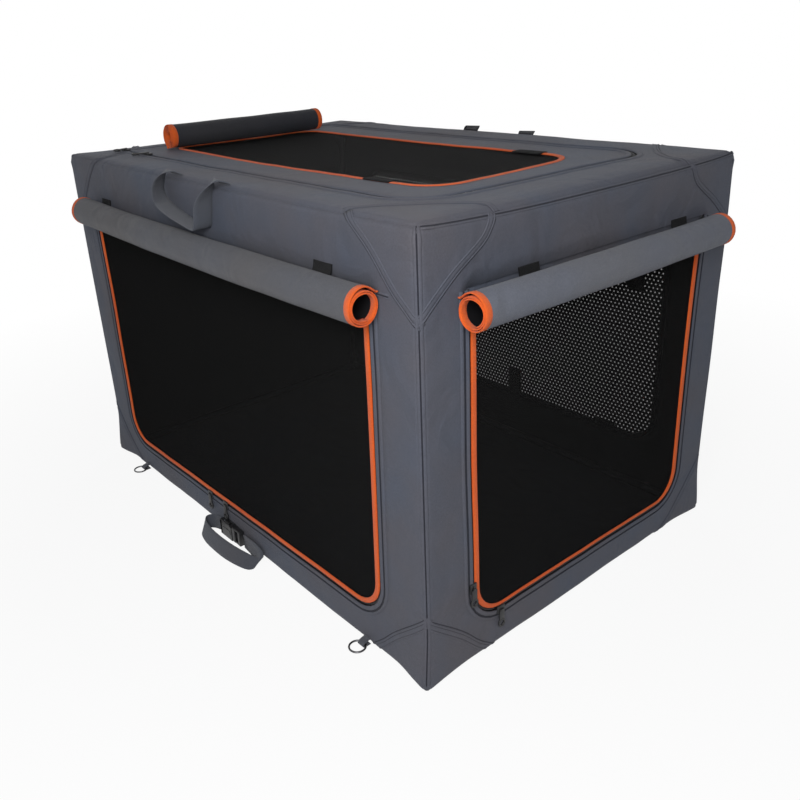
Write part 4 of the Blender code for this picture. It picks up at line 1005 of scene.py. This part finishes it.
hinge_seam = make("roof_hinge_seam", [seam(hinge_path, UPRIGHT, UPRIGHT_BANDS, roof_point)], SEWN)
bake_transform(hinge_seam)


# The rolled covers. A cloth cover hangs over each mesh opening, bound in orange tape at both ends. It
# is rolled outwards and up to its seam, so each end shows a spiral of tape round a dark hole.
COVER_CLOTH = woven(
    "cover_polyester", (0.088, 0.091, 0.104), (0.096, 0.094, 0.099), 0.58, 0.08, creases=0.35
)
# The right cover is a lighter, bluer copy of the cover cloth: painted light, for the light that falls on the right
# roll.
PAINTED_LIT_COVER_CLOTH = woven(
    "cover_polyester_painted_lit", (0.120, 0.129, 0.158), (0.130, 0.134, 0.152), 0.58, 0.10, creases=0.35
)
DARK_COVER_CLOTH = woven(
    "roof_cover_polyester", (0.027, 0.028, 0.034), (0.034, 0.034, 0.038), 0.6, 0.05, creases=0.30
)
FRONT_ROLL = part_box("front_cover_roll")
RIGHT_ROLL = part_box("right_cover_roll")
ROOF_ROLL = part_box("roof_cover_roll")
ROLL_CLOTH = 0.0013
ROLL_RADIUS = 0.022
ROLL_STEPS = 30
ROLL_STEP_ALONG = 0.011
STRIP_STEP = 0.001
TAIL_ANGLE = math.radians(145)
# The first turn hangs loose here; the rolls are a little oval, and they swell and ripple along their length
LOOSE_ANGLE = math.radians(82)
ROLL_OVAL = 0.03
ROLL_SWELL = 0.035
ROLL_RIPPLE = 0.0010
ROLL_SAG = 0.0014
# Turns, pitch, the gap left at the top under the first turn, half the tape's thickness, height over width
FRONT_ROLL_SHAPE = (2.7, 0.0021, 0.0026, 0.00095, 1.075)
RIGHT_ROLL_SHAPE = (2.6, 0.0021, 0.0022, 0.00095, 1.04)
TIGHT_ROLL_SHAPE = (4.4, 0.0033, 0.0, 0.0012, 1.0)
# Across the tape on a roll's end: how far past the cloth's end, and the share of the tape's thickness
ROLL_TAPE = [(-0.0088, 0.6), (-0.0082, 1.0), (-0.0010, 1.0), (0.0, 0.7), (0.0006, 0.0)]
ROLL_TAPE += [(across, -depth) for across, depth in reversed(ROLL_TAPE[:-1])]
# How far a roll's middle stands off the wall, and how far in from there the strip up to the seam starts,
# just outside the bowed netting
ROLL_OUT = -FRONT_ROLL[0].y - HALF_WIDTH - ROLL_RADIUS + 0.0001
STRIP_REACH = ROLL_OUT - 0.0014
LONG_ROLL_HEIGHT = 0.4963
RIGHT_ROLL_HEIGHT = 0.4870
# The front roll stops short of the door's left end and leans, and the right one stops short of its far end
FRONT_ROLL_SHIFT = 0.013
FRONT_ROLL_LEAN = 0.0025
FRONT_ROLL_SAG = 0.0035
RIGHT_ROLL_SHIFT = -0.004
ROOF_ROLL_PLACE = Vector((-0.339, -0.006, HEIGHT + ROLL_OUT - 0.0018))


def roll_spiral(turns, pitch, loose, tape, tall):
    """The rolled cloth's middle line seen from its end, from the outside in: x out of the face, y up."""
    points = []
    for step in range(round(turns * ROLL_STEPS) + 1):
        turned = step / ROLL_STEPS
        angle = TAIL_ANGLE - turned * math.tau
        top = max(0.0, math.cos(angle - LOOSE_ANGLE)) ** 2
        size = ROLL_RADIUS - tape - pitch * turned - loose * top * rise(turned, 0.6, 1.0)
        size *= 1 + ROLL_OVAL * math.sin(2 * angle + 0.8) * rise(turned, 0.3, 1.5)
        points.append(Vector((math.cos(angle), math.sin(angle) * tall)) * size)
    return points


def cover(name, carrier, centre, out, up, half, roll, cloth, lean=0.0, sag=ROLL_SAG):
    """A rolled cover: its sheet, the tape on its ends, and the strip of cloth up to its seam."""
    along = out.cross(up)
    spiral = roll_spiral(*roll)
    places = evenly(-half, half, ROLL_STEP_ALONG)

    def lay(spot, at, loose):
        swell = 1 + ROLL_SWELL * loose * noise.noise(Vector((at * 9, 0.4, 0.2)) + centre * 5)
        ripple = ROLL_RIPPLE * loose * noise.noise(Vector((at * 14, spot.x * 40, spot.y * 40)) + centre * 9)
        dip = sag * (1 - (at / half) ** 2) - lean * at / half
        return centre + out * (spot.x * swell + ripple) + up * (spot.y * swell - dip) + along * at

    def cloth_over(line, loose):
        return tube_shape([[lay(point, at, loose) for at in places] for point in line], around=False)

    def tape_over(line, end, loose):
        rim = []
        for index, point in enumerate(line):
            heading = (line[min(index + 1, len(line) - 1)] - line[max(index - 1, 0)]).normalized()
            thick = (out * -heading.y + up * heading.x) * roll[3]
            rim.append([lay(point, end * (half + across), loose) + thick * depth for across, depth in ROLL_TAPE])
        return tube_shape(rim[::end])

    sheet = make(f"{name}_roll_cloth", [cloth_over(spiral, 1.0)], [LINING, cloth])
    thicken(sheet, ROLL_CLOTH, lining=True, offset=0)
    tapes = make(f"{name}_roll_tape", [tape_over(spiral, end, 1.0) for end in (-1, 1)], [ORANGE])
    # The strip up to the seam is taut and level
    tail = [Vector((x, spiral[0].y)) for x in evenly(-STRIP_REACH, spiral[0].x, STRIP_STEP)]
    shapes = [cloth_over(tail, 0.0), *(tape_over(tail, end, 0.0) for end in (-1, 1))]
    for shape in shapes[1:]:
        shape["finishes"] = [1] * len(shape["faces"])
    strip = make(f"{name}_strip", shapes, [cloth, ORANGE])
    hang = carry if name == "roof_cover" else hung_from_roof
    hang(sheet, name, "cover_polyester", f"{name}_roll")
    hang(tapes, name, "orange_binding")
    lay(tail[0], 0.0, 0.0)
    lay(tail[-1], 0.0, 0.0)
    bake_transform(strip)


front_place = Vector((FRONT_ROLL_SHIFT, -HALF_WIDTH - ROLL_OUT, LONG_ROLL_HEIGHT))
front_half = FRONT_ROLL[1].x - FRONT_ROLL_SHIFT
front_hang = {"lean": FRONT_ROLL_LEAN, "sag": FRONT_ROLL_SAG}
cover("front_cover", "front_door", front_place, -Y, UP, front_half, FRONT_ROLL_SHAPE, COVER_CLOTH, **front_hang)
back_place = Vector((0, HALF_WIDTH + ROLL_OUT, LONG_ROLL_HEIGHT))
cover("back_cover", "roof_frame", back_place, Y, UP, FRONT_ROLL[1].x, FRONT_ROLL_SHAPE, COVER_CLOTH)
right_place = Vector((HALF_LENGTH + ROLL_OUT, RIGHT_ROLL_SHIFT, RIGHT_ROLL_HEIGHT))
right_half = RIGHT_ROLL[1].y + RIGHT_ROLL_SHIFT
cover("right_cover", "right_door", right_place, X, UP, right_half, RIGHT_ROLL_SHAPE, PAINTED_LIT_COVER_CLOTH)
cover("roof_cover", "roof_door", ROOF_ROLL_PLACE, UP, -X, ROOF_ROLL[1].y, TIGHT_ROLL_SHAPE, DARK_COVER_CLOTH)


# Cover tabs. Two short black hook-and-loop tabs are sewn to the wall above each rolled cover and tuck
# in behind it, where they hold the roll up.
HOOK_TAPE = woven("hook_and_loop", (0.006, 0.006, 0.007), (0.009, 0.009, 0.010), 0.9, 0.05, 0.0011, 0.9)
TAB_HALF = 0.018
TAB_THICKNESS = 0.0014
TAB_PLACES = {"front": (-0.318, 0.297), "right": (-0.136, 0.169), "back": (-0.297, 0.297)}
TAB_HEADS = {"front": 0.5215, "right": 0.5118, "back": 0.5215}
# Down a tab and off the wall
TAB_LINE = [(0.0, 0.0009), (-0.0040, 0.0013), (-0.0085, 0.0022), (-0.0125, 0.0040), (-0.0155, 0.0062)]
# Across a band: share of its half width, share of its half thickness
BAND_EDGE = [(-1.0, 0.4), (-0.96, 1.0), (-0.5, 1.0), (0.5, 1.0), (0.96, 1.0), (1.0, 0.4)]
BAND_EDGE += [(across, -lift) for across, lift in reversed(BAND_EDGE)]


def ribbon_shape(stations, thickness, fine=4):
    """A band through stations of a middle point and a vector to its left edge, smooth between them."""
    ends = [stations[0], *stations, stations[-1]]
    path = []
    for near in zip(ends, ends[1:], ends[2:], ends[3:]):
        for piece in range(fine):
            path.append([curve_point(*(station[k] for station in near), piece / fine) for k in (0, 1)])
    path.append(stations[-1])
    rows = []
    for index, (middle, side) in enumerate(path):
        heading = (path[min(index + 1, len(path) - 1)][0] - path[max(index - 1, 0)][0]).normalized()
        over = heading.cross(side.normalized()).normalized() * thickness / 2
        rows.append([middle + side * across + over * lift for across, lift in BAND_EDGE])
    return tube_shape(rows)


tab_shapes = []
for face, places in TAB_PLACES.items():
    for place in places:
        stations = []
        for drop, lift in TAB_LINE:
            height = TAB_HEADS[face] + drop
            left, right = (wall_point(face, place + side, height, lift) for side in (-TAB_HALF, TAB_HALF))
            stations.append(((left + right) / 2, (right - left) / 2))
        tab_shapes.append(ribbon_shape(stations, TAB_THICKNESS))
on_walls(make("cover_tabs", tab_shapes, [HOOK_TAPE]), "grey_webbing")


# Tie patches. Black cloth patches are sewn on the netting of the back window, and two of hook tape lie
# over the binding on the roof window's long sides.
PATCH_THICKNESS = 0.0009
PATCH_EDGE = 0.001
BACK_PATCH_LIFT = -0.0030
ROOF_PATCH_LIFT = 0.0014
# Each patch's middle and size
BACK_PATCHES = [
    ((-0.062, 0.118), (0.030, 0.052)),
    ((-0.315, 0.374), (0.030, 0.042)),
    ((-0.274, 0.091), (0.040, 0.024)),
]
ROOF_PATCHES = [((0.214, 0.147), (0.052, 0.020)), ((0.214, -0.147), (0.052, 0.016))]


def patch_shape(middle, size, place, lift):
    across, up = size[0] / 2, size[1] / 2
    path = [(middle[0] - across, middle[1]), (middle[0], middle[1]), (middle[0] + across, middle[1])]
    inner = up - PATCH_EDGE
    profile = [(-up, 0.0), *((spot, PATCH_THICKNESS) for spot in (-inner, 0.0, inner)), (up, 0.0)]

    def on_patch(u, v, over):
        return place(u, v, lift + over)

    return strip_shape(even_steps(path, 0.006), profile, on_patch, under=PATCH_EDGE)


back_shapes = [patch_shape(*patch, on_back, BACK_PATCH_LIFT) for patch in BACK_PATCHES]
on_walls(make("back_window_patches", back_shapes, [HOOK_TAPE]), "grey_webbing")
roof_shapes = [patch_shape(*patch, roof_point, ROOF_PATCH_LIFT) for patch in ROOF_PATCHES]
carry(make("roof_window_patches", roof_shapes, [HOOK_TAPE]), "roof_door", "grey_webbing")


# Webbing handles. A band of grey webbing is sewn flat to the roof at both ends, bends over the edge,
# turns square to the wall and hangs in a loose loop that rests on the rolled cover.
# The back handle is a darker copy of the grey webbing: painted shade, for the shaded side of its bends.
PAINTED_SHADE_WEBBING = woven("webbing_painted_shade", (0.030, 0.032, 0.038), (0.038, 0.038, 0.043), 0.62, 0.05, 0.0014, 0.6)
GREY_WEBBING = woven("grey_webbing", (0.080, 0.088, 0.108), (0.092, 0.094, 0.108), 0.62, 0.15, 0.0014, 0.6)
HANDLE_HALF_WIDTH = 0.014
HANDLE_THICKNESS = 0.0015
# The roof's edge dips, so the handles lie a little lower than their line
HANDLE_DROP = 0.0005
# Along the wall, out from it and up, with how far the band has turned from lying flat to square to the wall
HANDLE_LINE = [
    (-0.0540, -0.0080, 0.5868, 0.0),
    (-0.0545, -0.0030, 0.5895, 0.0),
    (-0.0580, 0.0020, 0.5930, 0.1),
    (-0.0660, 0.0080, 0.5900, 0.45),
    (-0.0760, 0.0125, 0.5780, 0.68),
    (-0.0810, 0.0138, 0.5630, 0.72),
    (-0.0740, 0.0140, 0.5500, 0.85),
    (-0.0520, 0.0143, 0.5410, 1.0),
    (-0.0240, 0.0143, 0.5340, 1.0),
    (0.0080, 0.0143, 0.5285, 1.0),
    (0.0310, 0.0143, 0.5255, 1.0),
    (0.0400, 0.0143, 0.5262, 1.0),
    (0.0450, 0.0143, 0.5340, 1.0),
    (0.0480, 0.0140, 0.5480, 1.0),
    (0.0530, 0.0130, 0.5640, 0.95),
    (0.0620, 0.0090, 0.5800, 0.7),
    (0.0710, 0.0030, 0.5920, 0.3),
    (0.0760, -0.0030, 0.5905, 0.05),
    (0.0780, -0.0080, 0.5868, 0.0),
]
SEWN_HEIGHT = HANDLE_LINE[0][2]


def handle(name, line, side, cloth):
    """side is -1 at the front and 1 at the back."""
    stations = []
    for along, out, height, turned in line:
        angle = turned * math.pi / 2
        width = Vector((math.cos(angle), side * math.sin(angle), 0)) * HANDLE_HALF_WIDTH
        stations.append((Vector((along, side * (HALF_WIDTH + out), height - HANDLE_DROP)), width))
    band = make(f"{name}_webbing", [ribbon_shape(stations, HANDLE_THICKNESS, fine=5)], [cloth])
    return carry(band, f"{name}_band", "grey_webbing", name)


front_band = handle("front_handle", HANDLE_LINE, -1, GREY_WEBBING)
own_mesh(front_band)
# At the back the two bends over the edge lie flatter, the right one most
back_line = []
for along, out, height, turned in HANDLE_LINE:
    if height > SEWN_HEIGHT:
        height = SEWN_HEIGHT + (height - SEWN_HEIGHT) * (0.8 if along < 0 else 0.45)
    back_line.append((along, out, height, turned))
handle("back_handle", back_line, 1, PAINTED_SHADE_WEBBING)


# Zip sliders. Each is a black die-cast slider on the coil with a bridge over it, and carries a moulded
# tongue that ends in a ring.
SLIDER_METAL = hard_finish("slider_black", (0.004, 0.004, 0.005), 0.55)
SLIDER_LIFT = 0.0006
FOOT_ZIP = DOOR_FOOT - 0.0030
SIDE_SLIDER_HEIGHT = 0.112
FOOT_SLIDER_SHIFT = -0.013
# Its body, two flanges and bridge: each block's low and high corners, along the zip, across it and off the
# cloth, and the rounding of its edges
SLIDER_BLOCKS = [
    ((-0.0072, -0.0056, 0.0004), (0.0072, 0.0056, 0.0030), 0.0010),
    ((-0.0054, -0.0056, -0.0012), (0.0054, -0.0044, 0.0008), 0.0003),
    ((-0.0054, 0.0044, -0.0012), (0.0054, 0.0056, 0.0008), 0.0003),
    ((-0.0040, -0.0009, 0.0018), (0.0040, 0.0009, 0.0046), 0.0007),
]
PULL_LIFT = 0.0042
PULL_LENGTH = 0.0160
# The tongue's hinge and the tongue, along it, across it and off the cloth
PULL_BLOCKS = [
    ((-0.0012, -0.0024, -0.0006), (0.0014, 0.0024, 0.0009), 0.0004),
    ((0.0010, -0.0046, -0.0012), (PULL_LENGTH, 0.0046, 0.0006), 0.0006),
]
PULL_RING = 0.0048
PULL_RING_WIRE = 0.0017
PULL_RING_LIFT = 0.0037


def ring_shape(middle, first, second, radius, wire, turns=24, sides=10, stretch=1.0):
    """A round wire ring in the plane of two directions."""
    over = first.cross(second)
    rows = []
    for index in range(turns):
        angle = math.tau * index / turns
        out = first * math.cos(angle) * stretch + second * math.sin(angle)
        centre = middle + out * radius
        angles = [-math.tau * k / sides for k in range(sides)]
        rows.append([centre + (out * math.cos(a) + over * math.sin(a)) * wire for a in angles])
    return tube_shape(rows, ring=True)


def block_shape(low, high, edge, basis=None):
    """A box with rounded edges, in the object's own directions or in a basis of an origin and three axes."""
    work = bmesh.new()
    bmesh.ops.create_cube(work, size=1.0)
    for vertex in work.verts:
        vertex.co = Vector([low[k] + (high[k] - low[k]) * (vertex.co[k] + 0.5) for k in range(3)])
    bmesh.ops.bevel(work, geom=list(work.edges), offset=edge, segments=2, affect="EDGES", profile=0.5)
    points = [vertex.co.copy() for vertex in work.verts]
    faces = [[vertex.index for vertex in face.verts] for face in work.faces]
    work.free()
    if basis:
        origin, first, second, third = basis
        points = [origin + first * point.x + second * point.y + third * point.z for point in points]
    places = [(0.0, 0.0) for face in faces for _ in face]
    return {"points": points, "faces": faces, "places": places}


def slider(name, body, middle, way, out, pull):
    """middle is on the coil, way runs along the zip, out stands off the cloth, and the tongue lies along pull."""
    across = out.cross(pull)
    basis = (middle, way, out.cross(way), out)
    hang = (middle + out * PULL_LIFT, pull, across, out)
    shapes = [block_shape(*block, basis) for block in SLIDER_BLOCKS]
    cast = sum(len(shape["faces"]) for shape in shapes)
    shapes += [block_shape(*block, hang) for block in PULL_BLOCKS]
    ring_middle = middle + out * PULL_RING_LIFT + pull * (PULL_LENGTH + PULL_RING)
    shapes.append(ring_shape(ring_middle, pull, across, PULL_RING, PULL_RING_WIRE, stretch=1.1))
    piece = make(f"{name}_detailed", shapes, [SLIDER_METAL])
    for polygon in piece.data.polygons[:cast]:
        polygon.use_smooth = False
    carry(piece, body, "zipper_black", name)
    if out.z == 0:
        press(piece)


def middle_of(node):
    low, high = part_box(node)
    return (low + high) / 2


for end in ("left", "right"):
    name = f"front_zip_slider_{end}"
    place = wall_point("front", middle_of(name).x, FOOT_ZIP, SLIDER_LIFT)
    slider(name, f"front_slider_{end}", place, X, -Y, -UP)
place = wall_point("right", middle_of("right_zip_slider_foot").y + FOOT_SLIDER_SHIFT, FOOT_ZIP, SLIDER_LIFT)
slider("right_zip_slider_foot", "right_slider_foot", place, Y, X, -UP)
place = wall_point("right", middle_of("right_zip_slider_side").y, SIDE_SLIDER_HEIGHT, SLIDER_LIFT)
slider("right_zip_slider_side", "right_slider_side", place, UP, X, -UP)
for end, lean in (("left", 0.35), ("right", -0.2)):
    name = f"roof_zip_slider_{end}"
    place = roof_point(middle_of(name).x, -PANEL_HIGH.y - ROOF_ZIP_MIDDLE, SLIDER_LIFT)
    slider(name, f"roof_slider_{end}", place, X, UP, Vector((lean, -1, 0)).normalized())


# The storage strap. A grey webbing strap with a side-release buckle is sewn to the front wall's foot;
# it lies in a loose loop on the floor, and goes round the crate when it is folded.
STRAP_HALF = 0.0124
STRAP_THICKNESS = 0.0018
# The strap's middle line, with how far its upper edge leans back
STRAP_LINE = [
    (-0.0290, -0.3110, 0.0140, 0.0),
    (-0.0440, -0.3122, 0.0138, 0.0005),
    (-0.0570, -0.3155, 0.0134, 0.0015),
    (-0.0645, -0.3225, 0.0130, 0.0025),
    (-0.0635, -0.3310, 0.0128, 0.0040),
    (-0.0520, -0.3385, 0.0126, 0.0055),
    (-0.0290, -0.3435, 0.0125, 0.0065),
    (0.0000, -0.3440, 0.0112, 0.0072),
    (0.0300, -0.3420, 0.0100, 0.0086),
    (0.0570, -0.3370, 0.0084, 0.0101),
    (0.0790, -0.3300, 0.0066, 0.0112),
    (0.0870, -0.3235, 0.0070, 0.0110),
    (0.0830, -0.3175, 0.0105, 0.0080),
    (0.0640, -0.3125, 0.0134, 0.0030),
    (0.0300, -0.3110, 0.0140, 0.0),
]
stations = []
for x, y, z, lean in STRAP_LINE:
    stations.append((Vector((x, y, z)), Vector((0, lean, math.sqrt(STRAP_HALF**2 - lean**2)))))
strap = make("storage_strap_webbing", [ribbon_shape(stations, STRAP_THICKNESS, fine=5)], [GREY_WEBBING])
carry(strap, "base", "grey_webbing", "storage_strap")

BUCKLE_PLASTIC = hard_finish("buckle_plastic", (0.006, 0.006, 0.007), 0.44)
# The buckle lies towards the left end of the loop
BUCKLE_SHIFT = Vector((-0.008, 0.0, 0.0))
LOW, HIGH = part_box("buckle_socket")
PLUG_LOW, PLUG_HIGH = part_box("buckle_plug")
PLATE = 0.0022
RAIL = 0.0030
# The socket's two plates, its closed end, two side rails and the raised bar on its face
SOCKET_BLOCKS = [
    (LOW, (HIGH.x, LOW.y + PLATE, HIGH.z), 0.0009),
    ((LOW.x, HIGH.y - PLATE, LOW.z), HIGH, 0.0009),
    (LOW, (LOW.x + 0.0070, HIGH.y, HIGH.z), 0.0012),
    ((0.0, LOW.y, LOW.z), (HIGH.x, HIGH.y, LOW.z + RAIL), 0.0009),
    ((0.0, LOW.y, HIGH.z - RAIL), HIGH, 0.0009),
    ((LOW.x + 0.010, LOW.y - 0.0005, 0.010), (HIGH.x - 0.004, LOW.y + 0.0006, 0.018), 0.0004),
]
PRONG_FRONT, PRONG_BACK = PLUG_LOW.y + 0.0026, PLUG_HIGH.y - 0.0026
FLOOR_SIDE, ROOF_SIDE = 0.0006, 0.0274
# The plug's shoulder, the frame that holds the strap, its middle prong, two spring arms and their catches
PLUG_BLOCKS = [
    ((HIGH.x + 0.0004, PLUG_LOW.y + 0.0008, FLOOR_SIDE), (0.0150, PLUG_HIGH.y - 0.0004, ROOF_SIDE), 0.0012),
    ((0.0140, PLUG_LOW.y + 0.0014, FLOOR_SIDE), (0.0250, PLUG_HIGH.y - 0.0010, 0.0040), 0.0010),
    ((0.0140, PLUG_LOW.y + 0.0014, 0.0240), (0.0250, PLUG_HIGH.y - 0.0010, ROOF_SIDE), 0.0010),
    ((0.0240, PLUG_LOW.y + 0.0010, FLOOR_SIDE), (PLUG_HIGH.x, PLUG_HIGH.y - 0.0006, ROOF_SIDE), 0.0012),
    ((-0.0200, PRONG_FRONT, 0.0120), (0.0100, PRONG_BACK, 0.0160), 0.0009),
    ((-0.0180, PRONG_FRONT, 0.0040), (0.0100, PRONG_BACK, 0.0072), 0.0009),
    ((-0.0180, PRONG_FRONT, 0.0208), (0.0100, PRONG_BACK, 0.0240), 0.0009),
    ((-0.0200, PRONG_FRONT, FLOOR_SIDE), (-0.0060, PRONG_BACK, 0.0056), 0.0012),
    ((-0.0200, PRONG_FRONT, 0.0224), (-0.0060, PRONG_BACK, ROOF_SIDE), 0.0012),
]
for name, body, blocks in (
    ("buckle_socket", "base", SOCKET_BLOCKS),
    ("buckle_plug", "buckle_plug_body", PLUG_BLOCKS),
):
    shapes = [block_shape(*block) for block in blocks]
    for shape in shapes:
        shape["points"] = [point + BUCKLE_SHIFT for point in shape["points"]]
    piece = make(f"{name}_detailed", shapes, [BUCKLE_PLASTIC])
    for polygon in piece.data.polygons:
        polygon.use_smooth = False
    carry(piece, body, "black_plastic", name)


# Stake rings. A plain steel ring for a ground stake hangs from a short webbing loop sewn to the front
# wall's foot near each end.
RING_STEEL = hard_finish("ring_steel", (0.10, 0.10, 0.105), 0.30, Metallic=0.9)
LOOP_HALF = 0.0060
LOOP_THICKNESS = 0.0012
# Across the crate and up, out of the wall's foot, round the ring's wire and back
LOOP_LINE = [
    (-0.3042, 0.0009), (-0.3100, 0.0008), (-0.3150, 0.0012), (-0.3168, 0.0035),
    (-0.3150, 0.0062), (-0.3100, 0.0078), (-0.3042, 0.0090),
]
loops = []
for end in ("left", "right"):
    node = f"stake_ring_{end}"
    low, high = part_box(node)
    middle = (low + high) / 2
    wire = (high.z - low.z) / 2
    radius = (high.x - low.x) / 2 - wire
    shape = ring_shape(middle, Y, -X, radius * 0.97, wire * 1.05, turns=40, sides=14)
    carry(make(f"{node}_wire", [shape], [RING_STEEL]), f"{end}_ring", "ring_steel", node)
    stations = [(Vector((middle.x, y, z)), X * LOOP_HALF) for y, z in LOOP_LINE]
    loops.append(ribbon_shape(stations, LOOP_THICKNESS))
on_walls(make("stake_loops", loops, [GREY_WEBBING]), "grey_webbing")


# Tubes, brackets and other hard pieces keep their shapes from the frame: powder-coated steel tube, and
# brackets moulded in black plastic.
STEEL = hard_finish("powder_coated_steel", (0.030, 0.031, 0.034), 0.42, (700, 3), (35, 4), 0.25, Metallic=0.35)
PLASTIC = hard_finish("moulded_black_plastic", (0.016, 0.016, 0.018), 0.42)
for name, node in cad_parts.items():
    for kind, finish in (("rail", STEEL), ("post", STEEL), ("bracket", PLASTIC)):
        if name.endswith(kind):
            node.data.materials.clear()
            node.data.materials.append(finish)
